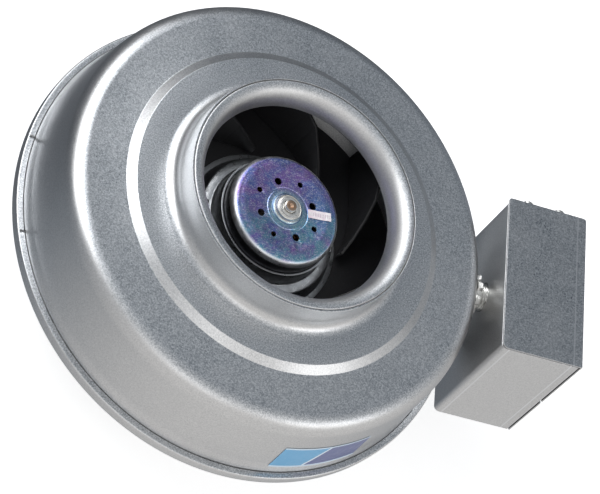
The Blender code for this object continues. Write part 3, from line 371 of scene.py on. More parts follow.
def label_film(name):
    """Printed film: pale blue and dark blue that meet on a slanting line, with a light stripe."""
    s = Shader(name, (0.2, 0.5, 0.85), 0.35, 0.0, coat=0.3)
    uv = s.node("ShaderNodeUVMap", uv_map="face").outputs[0]
    u, v = s.split(uv)[:2]
    slant = s.math("ADD", u, s.math("MULTIPLY", v, -0.18))
    tone = s.mix(s.math("GREATER_THAN", slant, 0.36), (0.10, 0.34, 0.58), (0.09, 0.11, 0.27))
    stripe = s.math("MULTIPLY", s.math("GREATER_THAN", slant, 0.345), s.math("LESS_THAN", slant, 0.375))
    tone = s.mix(stripe, tone, (0.62, 0.70, 0.78))
    border = s.math("MAXIMUM", s.math("LESS_THAN", v, 0.06), s.math("GREATER_THAN", v, 0.94))
    tone = s.mix(border, tone, (0.55, 0.66, 0.76))
    scuff = s.remap(s.noise(700, 4, 0.7), 0.62, 0.72, 0.0, 0.35)
    s.colour(s.mix(scuff, tone, (0.5, 0.6, 0.7)))
    s.rough(s.remap(s.noise(250), 0.3, 0.7, 0.28, 0.42))
    s.bump(s.noise(140, 2, 0.5), 0.2, 0.0002)
    return s


def sticker_paper(name):
    """White strip with a faint rose wash and plain grey ticks."""
    s = Shader(name, (0.85, 0.83, 0.84), 0.45, 0.0)
    uv = s.node("ShaderNodeUVMap", uv_map="face").outputs[0]
    u, v = s.split(uv)[:2]
    wash = s.remap(s.noise(300, 3, 0.6), 0.35, 0.65)
    tone = s.mix(wash, (0.86, 0.85, 0.86), (0.72, 0.58, 0.66))
    ticks = s.math("GREATER_THAN", s.math("SINE", s.math("MULTIPLY", u, 84.0)), 0.35)
    band = s.math("MULTIPLY", s.math("GREATER_THAN", v, 0.28), s.math("LESS_THAN", v, 0.72))
    tone = s.mix(s.math("MULTIPLY", s.math("MULTIPLY", ticks, band), 0.55), tone, (0.30, 0.28, 0.33))
    s.colour(tone)
    s.rough(s.remap(wash, 0, 1, 0.38, 0.5))
    s.bump(s.noise(900, 2, 0.5), 0.2, 0.00005)
    return s


STEEL = galvanised("galvanised_casing").material
STEEL_RING = galvanised("galvanised_ring", bright=0.97, roughness=0.43).material
# Places along x where the box sheet gets a painted highlight line.
BOX_HIGHLIGHT_LINES = (BOX_STANDOFF + 0.005, BOX_STANDOFF + BOX_X - 0.0068)
STEEL_BOX = galvanised("galvanised_box", 1.0, 0.36, BOX_HIGHLIGHT_LINES).material
# Painted shade: the cover is a darker copy of the box's galvanised sheet, standing in for the shade on its
# front face; it also takes one painted highlight line near its outer edge.
STEEL_COVER_SHADED = galvanised("galvanised_cover_shaded", 0.86, 0.33, (BOX_STANDOFF + BOX_X - 0.0058,)).material
STEEL_BRACKET = galvanised("galvanised_bracket", bright=0.95, roughness=0.36).material
ZINC = zinc("zinc_plate").material
HUB_ZINC = zinc("zinc_hub", (0.62, 0.64, 0.66), 0.3).material
PASSIVATED = passivated("passivated_rotor").material
BLACK = black_plastic("black_plastic").material
DARK = plain_metal("dark_laminations", (0.12, 0.12, 0.125), 0.45).material
BRIGHT = plain_metal("ground_steel", (0.74, 0.73, 0.71), 0.2).material
SHAFT_END = plain_metal("shaft_end", (0.52, 0.36, 0.26), 0.32).material
COPPER = copper("winding").material
CAST = plain_metal("cast_aluminium", (0.53, 0.54, 0.55), 0.45, 350).material
WHITE = moulded("white_plastic", (0.80, 0.80, 0.78)).material
GREEN = plain_metal("green_screw", (0.10, 0.40, 0.16), 0.35).material
SHEATH = moulded("grey_sheath", (0.20, 0.20, 0.21), 0.5).material
LABEL = label_film("label_film").material
PAPER = sticker_paper("sticker_paper").material


# ---------------------------------------------------------------- mesh helpers


def arc(centre_r, centre_z, radius, start, end, steps):
    """Points of an arc in the (r, z) plane, with angles in degrees from +r towards +z."""
    points = []
    for i in range(steps + 1):
        angle = math.radians(start + (end - start) * i / steps)
        points.append((centre_r + radius * math.cos(angle), centre_z + radius * math.sin(angle)))
    return points


def thickened(outline, thickness):
    """Closed loop of an open outline and its copy, thickness to the right of its direction."""
    count = len(outline)
    inner = []
    for i in range(count):
        here = Vector(outline[i])
        first = here - Vector(outline[i - 1]) if i else Vector(outline[1]) - here
        second = Vector(outline[i + 1]) - here if i + 1 < count else first
        first.normalize()
        second.normalize()
        right = Vector((first.y + second.y, -first.x - second.x)).normalized()
        reach = thickness / max(0.5, right.dot(Vector((first.y, -first.x))))
        inner.append((here.x + right.x * reach, here.y + right.y * reach))
    return list(outline) + inner[::-1]


def eased(loop, radius=EDGE, sharp=math.radians(35), steps=3):
    """The closed loop with every sharp corner rounded."""
    made = []
    count = len(loop)
    for i in range(count):
        here = Vector(loop[i])
        back = Vector(loop[i - 1]) - here
        ahead = Vector(loop[(i + 1) % count]) - here
        turn = math.pi - back.angle(ahead)
        if turn < sharp:
            made.append(loop[i])
            continue
        cut = min(radius * math.tan(turn / 2), 0.45 * back.length, 0.45 * ahead.length)
        start = here + back.normalized() * cut
        end = here + ahead.normalized() * cut
        for k in range(steps + 1):
            t = k / steps
            point = start * (1 - t) ** 2 + here * 2 * t * (1 - t) + end * t * t
            made.append((point.x, point.y))
    return made


def mesh_of(build):
    mesh = bpy.data.meshes.new("piece")
    bm = bmesh.new()
    build(bm)
    bmesh.ops.recalc_face_normals(bm, faces=bm.faces)
    bm.to_mesh(mesh)
    bm.free()
    mesh.shade_smooth()
    mesh.set_sharp_from_angle(angle=math.radians(38))
    return mesh


def turned(loop, segments=AROUND):
    """Mesh of a closed (r, z) loop turned round the axis."""

    def build(bm):
        rows = []
        for i in range(segments):
            angle = math.tau * i / segments
            c, s = math.cos(angle), math.sin(angle)
            row = []
            for r, z in loop:
                row.append(bm.verts.new((r * c, r * s, z)))
            rows.append(row)
        for i in range(segments):
            row, after = rows[i], rows[(i + 1) % segments]
            for k in range(len(loop)):
                n = (k + 1) % len(loop)
                bm.faces.new((row[k], row[n], after[n], after[k]))

    return mesh_of(build)


def spun(outline, segments=64):
    """Mesh of an open (r, z) outline whose two ends lie on the axis."""

    def build(bm):
        first = bm.verts.new((0, 0, outline[0][1]))
        last = bm.verts.new((0, 0, outline[-1][1]))
        rows = []
        for i in range(segments):
            angle = math.tau * i / segments
            rows.append(
                [
                    bm.verts.new((r * math.cos(angle), r * math.sin(angle), z))
                    for r, z in outline[1:-1]
                ]
            )
        for i in range(segments):
            row, after = rows[i], rows[(i + 1) % segments]
            bm.faces.new((first, row[0], after[0]))
            bm.faces.new((last, after[-1], row[-1]))
            for k in range(len(row) - 1):
                bm.faces.new((row[k], row[k + 1], after[k + 1], after[k]))

    return mesh_of(build)


def rod_outline(radius, low, high, edge=EDGE):
    return [
        (0, high),
        (radius - edge, high),
        (radius, high - edge),
        (radius, low + edge),
        (radius - edge, low),
        (0, low),
    ]


def corner_loop(low, high, radius, steps=8):
    """Anticlockwise points of a rectangle with round corners."""
    radius = max(radius, 0.00015)
    points = []
    corners = ((high[0], high[1], 0), (low[0], high[1], 90), (low[0], low[1], 180), (high[0], low[1], 270))
    for x, y, start in corners:
        cx = x - radius if x == high[0] else x + radius
        cy = y - radius if y == high[1] else y + radius
        for i in range(steps + 1):
            angle = math.radians(start + 90 * i / steps)
            points.append((cx + radius * math.cos(angle), cy + radius * math.sin(angle)))
    return points


def stacked(low, high, corner, sections):
    """Closed mesh of round-cornered rectangles, each (inset, z), capped at both ends."""

    def build(bm):
        rows = []
        for inset, z in sections:
            a = (low[0] + inset, low[1] + inset)
            b = (high[0] - inset, high[1] - inset)
            rows.append([bm.verts.new((x, y, z)) for x, y in corner_loop(a, b, corner - inset)])
        for row, after in zip(rows, rows[1:]):
            for k in range(len(row)):
                n = (k + 1) % len(row)
                bm.faces.new((row[k], row[n], after[n], after[k]))
        bm.faces.new(rows[0])
        bm.faces.new(rows[-1][::-1])

    return mesh_of(build)


def add(name, mesh, material, body, matrix=None, replaced=()):
    mesh.name = name
    mesh.materials.append(material)
    made = bpy.data.objects.new(name, mesh)
    bpy.context.scene.collection.objects.link(made)
    if matrix is not None:
        made.matrix_world = matrix
    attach(made, body)
    if replaced:
        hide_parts(*replaced)
    return made


def cut(target, mesh, matrix, operation="DIFFERENCE"):
    """Cuts target's mesh once with a tool and keeps the result as its mesh."""
    tool = bpy.data.objects.new("tool", mesh)
    bpy.context.scene.collection.objects.link(tool)
    tool.matrix_world = matrix
    change = target.modifiers.new("cut", "BOOLEAN")
    change.operation = operation
    change.solver = "EXACT"
    change.object = tool
    bpy.context.view_layer.update()
    shown = target.evaluated_get(bpy.context.evaluated_depsgraph_get())
    cut_mesh = bpy.data.meshes.new_from_object(shown)
    target.modifiers.clear()
    target.data = cut_mesh
    bpy.data.objects.remove(tool)


def joined(meshes):
    """One mesh from several."""
    bm = bmesh.new()
    for mesh in meshes:
        bm.from_mesh(mesh)
    made = bpy.data.meshes.new("tools")
    bm.to_mesh(made)
    bm.free()
    return made


def moved(mesh, matrix):
    copy = mesh.copy()
    copy.transform(matrix)
    return copy


def soften(target, width=0.0002, segments=2, angle=40):
    change = target.modifiers.new("edge", "BEVEL")
    change.width = width
    change.segments = segments
    change.limit_method = "ANGLE"
    change.angle_limit = math.radians(angle)
    change.use_clamp_overlap = True


# ---------------------------------------------------------------- casing shells


def front_outline():
    """Outer surface of the front shell, from the spigot's rim to its seam flange."""
    inner_face = at(SPIGOT_STRAIGHT + SPIGOT_FILLET)
    outer_face = inner_face - STEP_DROP
    points = [(SPIGOT_R, at(0)), (SPIGOT_R, at(SPIGOT_STRAIGHT * 0.5))]
    points += arc(SPIGOT_R + SPIGOT_FILLET, at(SPIGOT_STRAIGHT), SPIGOT_FILLET, 180, 270, 14)
    points.append((STEP_R, inner_face))
    for i in range(1, 5):
        t = i / 4
        points.append((STEP_R + STEP_EASE * t, inner_face - 0.1 * STEP_DROP * t * t))
    for i in range(4, -1, -1):
        t = i / 4
        points.append((STEP_R + STEP_WIDTH - STEP_EASE * t, outer_face + 0.1 * STEP_DROP * t * t))
    taper = math.degrees(WALL_TAPER)
    points += arc(CORNER_START_R, outer_face - CORNER_RADIUS, CORNER_RADIUS, 90, taper, 18)
    wall_r, wall_z = points[-1]
    flare_z = at(FLARE_DEPTH)
    flare_r = wall_r + (wall_z - flare_z) * math.tan(WALL_TAPER)
    seam_z = at(SEAM_DEPTH)
    points.append((flare_r - 0.0002, flare_z + 0.002))
    for i in range(1, 7):
        t = i / 6
        points.append((flare_r + SEAM_FLARE * t * t * (2 - t), flare_z + (seam_z - flare_z) * t))
    points.append((flare_r + SEAM_FLARE, seam_z - SHEET - GAP))
    points.append((flare_r + SEAM_FLARE + SEAM_FLANGE, seam_z - SHEET - GAP))
    return points


def seam_radius():
    return front_outline()[-2][0]


def wall_radius(depth):
    """Outer radius of the front shell's side wall at a depth."""
    z = at(depth)
    step_low = at(SPIGOT_STRAIGHT + SPIGOT_FILLET + STEP_DROP)
    wall = [p for p in front_outline()[:-2] if p[1] < step_low - 0.0001]
    for (r0, z0), (r1, z1) in zip(wall, wall[1:]):
        if z1 <= z <= z0:
            return r0 + (r1 - r0) * (z0 - z) / (z0 - z1)
    return wall[-1][0]


def cone_slope():
    rim_r = seam_radius() + GAP + HEM_WIDTH
    high = Vector((rim_r - RIM_CORNER, at(SEAM_DEPTH) - RIM_HEIGHT))
    low = Vector((SPIGOT_R + SPIGOT_FILLET, SPIGOT_STRAIGHT))
    span = high - low
    direct = math.atan2(span.y, span.x)
    return math.degrees(direct - math.asin((SPIGOT_FILLET + RIM_CORNER) / span.length))


def rear_outline():
    """Outer surface of the rear shell, from the hem's free edge to the outlet spigot's rim."""
    top = at(SEAM_DEPTH)
    hem_r = seam_radius() + GAP
    rim_r = hem_r + HEM_WIDTH
    slope = cone_slope()
    points = [(hem_r, top)]
    points += arc(rim_r - HEM_ROUND, top - HEM_ROUND, HEM_ROUND, 90, 0, 6)
    points += arc(rim_r - RIM_CORNER, top - RIM_HEIGHT, RIM_CORNER, 0, -90 + slope, 8)
    points += arc(SPIGOT_R + SPIGOT_FILLET, SPIGOT_STRAIGHT, SPIGOT_FILLET, 90 + slope, 180, 12)
    points.append((SPIGOT_R, 0))
    return points


def make_shells():
    front = add(
        "front_shell",
        turned(eased(thickened(front_outline(), SHEET))),
        STEEL,
        "housing",
        replaced=["inlet_casing"],
    )
    hole = spun(rod_outline(NIPPLE_R + 2 * GAP, -0.008, 0.004), 32)
    cut(front, hole, terminal_matrix() @ Matrix.Rotation(math.pi / 2, 4, "Y"))
    rear = add(
        "rear_shell",
        turned(eased(thickened(rear_outline(), SHEET))),
        STEEL,
        "housing",
        replaced=["outlet_casing"],
    )
    hem_r = seam_radius() + GAP
    top = at(SEAM_DEPTH)
    slits = []
    for angle in HEM_SLITS:
        low, high = (hem_r - SHEET, -0.0003), (hem_r + HEM_WIDTH - HEM_ROUND, 0.0003)
        tool = stacked(low, high, 0.0002, [(0, top - SHEET - GAP / 2), (0, top + SHEET)])
        slits.append(moved(tool, Matrix.Rotation(angle, 4, "Z")))
    cut(rear, joined(slits), Matrix())
    lip_r = SPIGOT_R - 2 * SHEET - GAP
    points = [(THROAT_R, at(THROAT_DEPTH + NOZZLE_LENGTH))]
    for i in range(19):
        angle = math.pi / 2 * i / 18
        r = THROAT_R + (lip_r - THROAT_R) * (1 - math.cos(angle))
        points.append((r, at(THROAT_DEPTH) + THROAT_DEPTH * math.sin(angle)))
    points += arc(lip_r, at(SHEET), SHEET, 75, 0, 5)
    points.append((lip_r + SHEET, at(RING_SKIRT)))
    add(
        "bell_mouth",
        turned(eased(thickened(points, SHEET * 0.8))),
        STEEL_RING,
        "housing",
        replaced=["inlet_ring"],
    )


# ---------------------------------------------------------------- impeller


def shroud_outline():
    lip_r = THROAT_R + SHEET + 0.0018 + PLASTIC
    slope = math.degrees(SHROUD_SLOPE)
    points = [(lip_r, at(SHROUD_TOP_DEPTH))]
    points += arc(lip_r + SHROUD_BEND, at(SHROUD_TOP_DEPTH + 0.0025), SHROUD_BEND, 180, 270 - slope, 10)
    end_r, end_z = points[-1]
    points.append((IMPELLER_R, end_z - (IMPELLER_R - end_r) * math.tan(SHROUD_SLOPE)))
    return points


def plate_height(r):
    return at(PLATE_DEPTH) - PLATE_DISH * (r - HUB_SHELF_R) / (IMPELLER_R - HUB_SHELF_R)


def hub_outline():
    lip_r = ROTOR_R + GAP
    flange_z = plate_height(HUB_FLANGE_R) + GAP + SHEET
    shelf_z = at(HUB_SHELF_DEPTH)
    points = [
        (lip_r, at(HUB_LIP_DEPTH)),
        (lip_r + 0.0013, at(HUB_LIP_DEPTH)),
        (lip_r + 0.0018, shelf_z + 0.0015),
    ]
    points += arc(lip_r + 0.0033, shelf_z + 0.0015, 0.0015, 180, 270, 5)[1:]
    points += [(HUB_SHELF_R, shelf_z), (HUB_SHELF_R + 0.0009, shelf_z - 0.0005)]
    points += [
        (HUB_SHELF_R + 0.0035, flange_z + 0.001),
        (HUB_SHELF_R + 0.0045, flange_z),
        (HUB_FLANGE_R, flange_z),
    ]
    return points


def make_impeller():
    shroud_mesh = turned(eased(thickened(shroud_outline(), PLASTIC), PLASTIC_EDGE))
    add("front_shroud", shroud_mesh, BLACK, "rotor", None, ["impeller_shroud"])
    inner_r = HUB_SHELF_R + 0.002
    outline = [(inner_r, plate_height(inner_r)), (IMPELLER_R, plate_height(IMPELLER_R))]
    plate_mesh = turned(eased(thickened(outline, PLASTIC), PLASTIC_EDGE))
    add("back_plate", plate_mesh, BLACK, "rotor", None, ["impeller_back_plate"])
    surface = hub_outline()
    lip_r = surface[0][0]
    under_flange = surface[-1][1] - SHEET
    under_shelf = at(HUB_SHELF_DEPTH) - SHEET
    under = [(HUB_FLANGE_R, under_flange), (HUB_SHELF_R + 0.0035, under_flange)]
    under += [(HUB_SHELF_R - 0.0006, under_shelf), (lip_r, under_shelf)]
    hub_mesh = turned(eased(surface + under), 192)
    hub = add("pressed_hub", hub_mesh, HUB_ZINC, "rotor", None, ["impeller_hub"])
    tool = spun(rod_outline(HUB_HOLE_R, at(HUB_SHELF_DEPTH) - 0.003, at(HUB_SHELF_DEPTH) + 0.003), 24)
    circle = (HUB_SHELF_R + lip_r + 3.0 * SHEET) / 2 + 0.0006
    tools = []
    for i in range(HUB_HOLES):
        turn = HUB_HOLE_TURN + math.tau * i / HUB_HOLES
        tools.append(moved(tool, Matrix.Rotation(turn, 4, "Z") @ Matrix.Translation((circle, 0, 0))))
    cut(hub, joined(tools), Matrix())
    for i in range(BLADES):
        name = f"impeller_blade_{i + 1}"
        blade = nodes[name]
        weld = blade.modifiers.new("weld", "WELD")
        weld.merge_threshold = 0.00001
        soften(blade, 0.0006, 3, 30)
        blade.data.materials.clear()
        blade.data.materials.append(BLACK)


# ---------------------------------------------------------------- rotor


def make_rotor():
    face = at(ROTOR_DEPTH)
    top = face + BOSS_HEIGHT
    bore = SHAFT_R + GAP
    low = face - ROTOR_LENGTH
    inner_r = ROTOR_R - SHEET
    loop = [
        (bore, top),
        (BOSS_R - 0.0019, top),
        (BOSS_R - 0.0016, top - 0.0007),
        (BOSS_R - 0.0006, top - 0.0009),
    ]
    loop += [(BOSS_R, top - 0.0016)]
    loop += arc(BOSS_R + 0.003, face + 0.003, 0.003, 180, 270, 8)
    loop += [(0.0128, face), (0.0132, face - 0.0003), (0.0140, face - 0.0003), (0.0144, face)]
    loop += [(0.0252, face), (0.0262, face + 0.0003), (0.0290, face + 0.0004), (0.0303, face + 0.0001)]
    loop += arc(ROTOR_R - ROTOR_EDGE, face - ROTOR_EDGE, ROTOR_EDGE, 90, 0, 9)
    loop += [(ROTOR_R, low), (inner_r, low)]
    loop += arc(ROTOR_R - ROTOR_EDGE, face - ROTOR_EDGE, ROTOR_EDGE - SHEET, 0, 90, 8)
    loop += [(bore, face - SHEET)]
    cup_mesh = turned(eased(loop, 0.0002), 224)
    cup = add("rotor_can", cup_mesh, PASSIVATED, "rotor", None, ["rotor_cup"])
    tools = []
    for radius, circle, first in (LARGE_HOLE, SMALL_HOLE):
        tool = spun(rod_outline(radius, face - 0.004, face + 0.004), 36)
        for i in range(4):
            turn = Matrix.Rotation(first + math.pi / 2 * i, 4, "Z")
            tools.append(moved(tool, turn @ Matrix.Translation((circle, 0, 0))))
    cut(cup, joined(tools), Matrix())
    soften(cup, 0.0005, 2, 50)
    cup.data.materials.append(ZINC)
    cup.modifiers["edge"].material = 1
    tip = at(SHAFT_TIP_DEPTH)
    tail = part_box("rotor_shaft")[0].z
    outline = [(0, tip - 0.0016), (0.0006, tip - 0.0013), (0.0016, tip), (SHAFT_R - 0.0007, tip)]
    outline += [(SHAFT_R - 0.0002, tip - 0.0002), (SHAFT_R, tip - 0.0008), (SHAFT_R, tail + 0.0006)]
    outline += [(SHAFT_R - 0.0006, tail), (0, tail)]
    shaft = add("shaft", spun(outline, 64), BRIGHT, "rotor", None, ["rotor_shaft"])
    shaft.data.materials.append(SHAFT_END)
    for polygon in shaft.data.polygons:
        if polygon.center.z > tip - 0.0017 and polygon.center.to_2d().length < SHAFT_R - 0.0007:
            polygon.material_index = 1
    make_patch_sticker(face)


def patch(points_at, columns, rows, thickness, name):
    """Thin curved film with a face UV map. points_at gives a point and its outward normal."""
    mesh = bpy.data.meshes.new(name)
    bm = bmesh.new()
    uv = bm.loops.layers.uv.new("face")
    tops, unders = [], []
    for j in range(rows + 1):
        top_row, under_row = [], []
        for i in range(columns + 1):
            point, normal = points_at(i / columns, j / rows)
            top_row.append(bm.verts.new(point + normal * thickness))
            under_row.append(bm.verts.new(point))
        tops.append(top_row)
        unders.append(under_row)
    for j in range(rows):
        for i in range(columns):
            for grid in (tops, unders):
                quad = (grid[j][i], grid[j][i + 1], grid[j + 1][i + 1], grid[j + 1][i])
                made = bm.faces.new(quad)
                places = ((i, j), (i + 1, j), (i + 1, j + 1), (i, j + 1))
                for loop, (a, b) in zip(made.loops, places):
                    loop[uv].uv = (a / columns, b / rows)
    rim_top = tops[0] + [r[-1] for r in tops[1:]] + tops[-1][-2::-1] + [r[0] for r in tops[-2:0:-1]]
    rim_low = unders[0] + [r[-1] for r in unders[1:]] + unders[-1][-2::-1] + [r[0] for r in unders[-2:0:-1]]
    for k in range(len(rim_top)):
        n = (k + 1) % len(rim_top)
        bm.faces.new((rim_top[k], rim_top[n], rim_low[n], rim_low[k]))
    bmesh.ops.recalc_face_normals(bm, faces=bm.faces)
    bm.to_mesh(mesh)
    bm.free()
    mesh.shade_smooth()
    mesh.set_sharp_from_angle(angle=math.radians(38))
    return mesh


def make_patch_sticker(face):
    turn = Matrix.Rotation(STICKER_TURN, 4, "Z")
    length, width = STICKER

    def place(u, v):
        x = STICKER_R + (u - 0.5) * length
        lift = 0.00025
        if x > 0.0252:
            lift += 0.0004 * min(1.0, (x - 0.0252) / 0.0015)
        return turn @ Vector((x, (v - 0.5) * width, face + lift)), Vector((0, 0, 1))

    mesh = patch(place, 24, 4, 0.0001, "strip_sticker")
    add("strip_sticker", mesh, PAPER, "rotor", None, ["rotor_sticker"])


# ---------------------------------------------------------------- terminal box


def terminal_matrix():
    """Frame on the side wall where the nipple leaves it: local +X is the nipple's axis."""
    place = Matrix.Translation((wall_radius(NIPPLE_DEPTH), NIPPLE_Y, at(NIPPLE_DEPTH)))
    return place @ Matrix.Rotation(-WALL_TAPER, 4, "Y") @ Matrix.Rotation(BOX_ROLL, 4, "X")


def box_limits():
    low = (BOX_STANDOFF, BOX_Y_OFFSET - BOX_Y / 2, BOX_Z_OFFSET - BOX_Z / 2)
    high = (BOX_STANDOFF + BOX_X, BOX_Y_OFFSET + BOX_Y / 2, BOX_Z_OFFSET + BOX_Z / 2)
    return low, high


def panel(low, high, corners=(0, 0, 0, 0)):
    """Block with a radius of its own for each edge along Z, anticlockwise from -X -Y."""
    sides = ((0, 0, 1, 1), (1, 0, -1, 1), (1, 1, -1, -1), (0, 1, 1, -1))
    ends = (low, high)
    outline = []
    for i, (a, b, side_x, side_y) in enumerate(sides):
        x, y, r = ends[a][0], ends[b][1], corners[i]
        start = 180 + 90 * i
        outline += arc(x + side_x * r, y + side_y * r, r, start, start + 90, 8) if r else [(x, y)]

    def build(bm):
        lower = [bm.verts.new((x, y, low[2])) for x, y in outline]
        upper = [bm.verts.new((x, y, high[2])) for x, y in outline]
        bm.faces.new(lower)
        bm.faces.new(upper)
        for i in range(len(outline)):
            k = (i + 1) % len(outline)
            bm.faces.new((lower[i], lower[k], upper[k], upper[i]))

    return mesh_of(build)


def make_box():
    """Tray of a back and three walls, and a bent cover over its front and outer side."""
    matrix = terminal_matrix()
    low, high = box_limits()
    side_y = high[1] - SHEET - GAP
    tray_high = (high[0] - SHEET - BOX_SEAM, side_y, high[2] - SHEET - BOX_SEAM)
    tray = panel(low, tray_high, (BOX_CORNER, 0, 0, BOX_CORNER))
    shell = add("box_shell", tray, STEEL_BOX, "housing", matrix, ["terminal_box"])
    room_low = tuple(v + BOX_SHEET for v in low)
    room_high = (high[0] + 0.02, side_y - BOX_SHEET, high[2] + 0.02)
    inner = BOX_CORNER - BOX_SHEET
    cut(shell, panel(room_low, room_high, (inner, 0, 0, inner)), matrix)
    along_x = matrix @ Matrix.Rotation(math.pi / 2, 4, "Y")
    cut(shell, spun(rod_outline(NIPPLE_R + 2 * GAP, low[0] - SHEET, low[0] + 3 * SHEET), 48), along_x)
    back = Matrix.Translation(((low[0] + high[0]) / 2, (low[1] + high[1]) / 2, low[2]))
    cut(shell, spun(rod_outline(KNOCKOUT_R, -SHEET, 3 * SHEET), 48), matrix @ back)
    cover_outline = (BOX_CORNER, 0, COVER_CORNER, COVER_CORNER)
    cover = add("box_cover", panel(low, high, cover_outline), STEEL_COVER_SHADED, "housing", matrix,
                ["terminal_box_cover"])
    far_low = tuple(v - 0.02 for v in low)
    near = tuple(v - SHEET for v in high)
    cut(cover, panel(far_low, near, (0, 0, COVER_CORNER - SHEET, 0)), matrix)
    flange_x = low[0] + BOX_CORNER
    end = panel((far_low[0], near[1] - SHEET, far_low[2]), (flange_x, high[1] + SHEET, near[2]))
    cut(cover, end, matrix)
    trim_high = (high[0] - COVER_CORNER, high[1] + SHEET, high[2] - COVER_FLANGE)
    cut(cover, panel((flange_x - SHEET, near[1] - SHEET, far_low[2]), trim_high), matrix)
    notch_z = high[2] - NOTCH_PLACE * BOX_Z
    notch_low = (high[0] - 3 * SHEET, low[1] - SHEET, notch_z - NOTCH_WIDTH / 2)
    notch_high = (high[0] + SHEET, low[1] + 0.003, notch_z + NOTCH_WIDTH / 2)
    cut(cover, panel(notch_low, notch_high), matrix)
    for piece in (shell, cover):
        soften(piece, 0.0003, 3, 50)
        piece.data.shade_smooth()
        piece.data.set_sharp_from_angle(angle=math.radians(30))
    make_nipple(matrix)
    for i in range(2):
        spot = (BOX_STANDOFF + COVER_SCREW_X[i], high[1] + 0.0003, high[2] - COVER_SCREW_INSET)
        seat = Matrix.Translation(spot) @ Matrix.Rotation(-math.pi / 2, 4, "X")
        spin = Matrix.Rotation(0.5 + 1.1 * i, 4, "Z")
        add(f"box_screw_{i + 1}", screw(0.006), ZINC, "housing", matrix @ seat @ spin,
            [f"cover_screw_{i + 1}"])


def screw(length):
    """Pan-head screw with a cross recess, its seat at z = 0."""
    radius, height, shank = 0.0036, 0.0022, 0.002
    outline = [(0, height)]
    for i in range(1, 9):
        angle = math.pi / 2 * i / 8
        outline.append((radius * math.sin(angle), height * 0.35 + height * 0.65 * math.cos(angle)))
    outline += [(radius, 0.0002), (radius - 0.0002, 0), (shank, 0), (shank, -length), (0, -length)]
    body = bpy.data.objects.new("screw_blank", spun(outline, 40))
    bpy.context.scene.collection.objects.link(body)
    arm, half = 0.0019, 0.00042
    bars = []
    for turn in (0, math.pi / 2):
        bar = stacked((-arm, -half), (arm, half), 0.0003, [(0.0002, height * 0.35), (0, height * 1.2)])
        bars.append(moved(bar, Matrix.Rotation(turn, 4, "Z")))
    cut(body, bars[0], Matrix())
    cut(body, bars[1], Matrix())
    mesh = body.data
    bpy.data.objects.remove(body)
    mesh.shade_smooth()
    mesh.set_sharp_from_angle(angle=math.radians(38))
    return mesh


def thread_mesh(radius, inner, start, end, segments=72, per_turn=8):
    """Threaded tube along local +X."""
    steps = int((end - start) / THREAD_PITCH * per_turn)

    def build(bm):
        outer_rows, inner_rows = [], []
        for i in range(steps + 1):
            x = start + (end - start) * i / steps
            ring, bore = [], []
            for k in range(segments):
                share = k / segments
                phase = (x / THREAD_PITCH - share) % 1.0
                lift = 1 - abs(2 * phase - 1)
                fade = min(1.0, (end - x) / THREAD_PITCH, (x - start) / THREAD_PITCH)
                r = radius - THREAD_DEPTH * (1 - min(1.0, lift * 1.25) * max(fade, 0.0))
                c, s = math.cos(math.tau * share), math.sin(math.tau * share)
                ring.append(bm.verts.new((x, r * c, r * s)))
                if i in (0, steps):
                    bore.append(bm.verts.new((x, inner * c, inner * s)))
            outer_rows.append(ring)
            if bore:
                inner_rows.append(bore)
        for row, after in zip(outer_rows, outer_rows[1:]):
            for k in range(segments):
                n = (k + 1) % segments
                bm.faces.new((row[k], row[n], after[n], after[k]))
        for outer, bore in ((outer_rows[0], inner_rows[0]), (outer_rows[-1], inner_rows[-1])):
            for k in range(segments):
                n = (k + 1) % segments
                bm.faces.new((outer[k], outer[n], bore[n], bore[k]))
        for k in range(segments):
            n = (k + 1) % segments
            bm.faces.new((inner_rows[0][k], inner_rows[0][n], inner_rows[1][n], inner_rows[1][k]))

    return mesh_of(build)


def locknut_mesh(start, thickness, lugs=8):
    """Stamped locknut along local +X, with lugs round its edge."""
    segments = 96
    bore = NIPPLE_R + 0.0001

    def radius(k):
        wave = math.cos(math.tau * k / segments * lugs)
        return LOCKNUT_R - 0.0009 + 0.0009 * max(-1.0, min(1.0, wave * 2.2))

    def build(bm):
        sections = [(bore, 0), (None, 0), (None, 0), (None, thickness), (None, thickness), (bore, thickness)]
        insets = (0, 0.0004, 0, 0, 0.0004, 0)
        lifts = (0, 0, 0.0004, -0.0004, 0, 0)
        rows = []
        for (fixed, x), inset, lift in zip(sections, insets, lifts):
            row = []
            for k in range(segments):
                r = fixed if fixed else radius(k) - inset
                angle = math.tau * k / segments
                row.append(bm.verts.new((start + x + lift, r * math.cos(angle), r * math.sin(angle))))
            rows.append(row)
        for i in range(len(rows)):
            row, after = rows[i], rows[(i + 1) % len(rows)]
            for k in range(segments):
                n = (k + 1) % segments
                bm.faces.new((row[k], row[n], after[n], after[k]))

    return mesh_of(build)


def make_nipple(matrix):
    end = BOX_STANDOFF + BOX_SHEET + NIPPLE_INSIDE
    tube = thread_mesh(NIPPLE_R, NIPPLE_R - NIPPLE_WALL, -NIPPLE_INSIDE, end)
    add("threaded_nipple", tube, ZINC, "housing", matrix, ["conduit_nipple"])
    nut = locknut_mesh(2 * GAP, LOCKNUT_THICKNESS)
    add("locknut", nut, ZINC, "housing", matrix, ["outer_locknut"])


# ---------------------------------------------------------------- label


def make_label():
    start, end = (math.radians(d) for d in LABEL_DEGREES)
    top, bottom = LABEL_DEPTHS
    lean = Vector((math.cos(WALL_TAPER), 0, math.sin(WALL_TAPER)))

    def place(u, v):
        angle = start + (end - start) * u
        depth = bottom + (top - bottom) * v
        r = wall_radius(depth) + 0.00015
        turn = Matrix.Rotation(angle, 4, "Z")
        return turn @ Vector((r, 0, at(depth))), turn @ lean

    mesh = patch(place, 48, 16, 0.00015, "printed_label")
    add("printed_label", mesh, LABEL, "housing", None, ["label_sticker"])


# ---------------------------------------------------------------- carried-over nodes


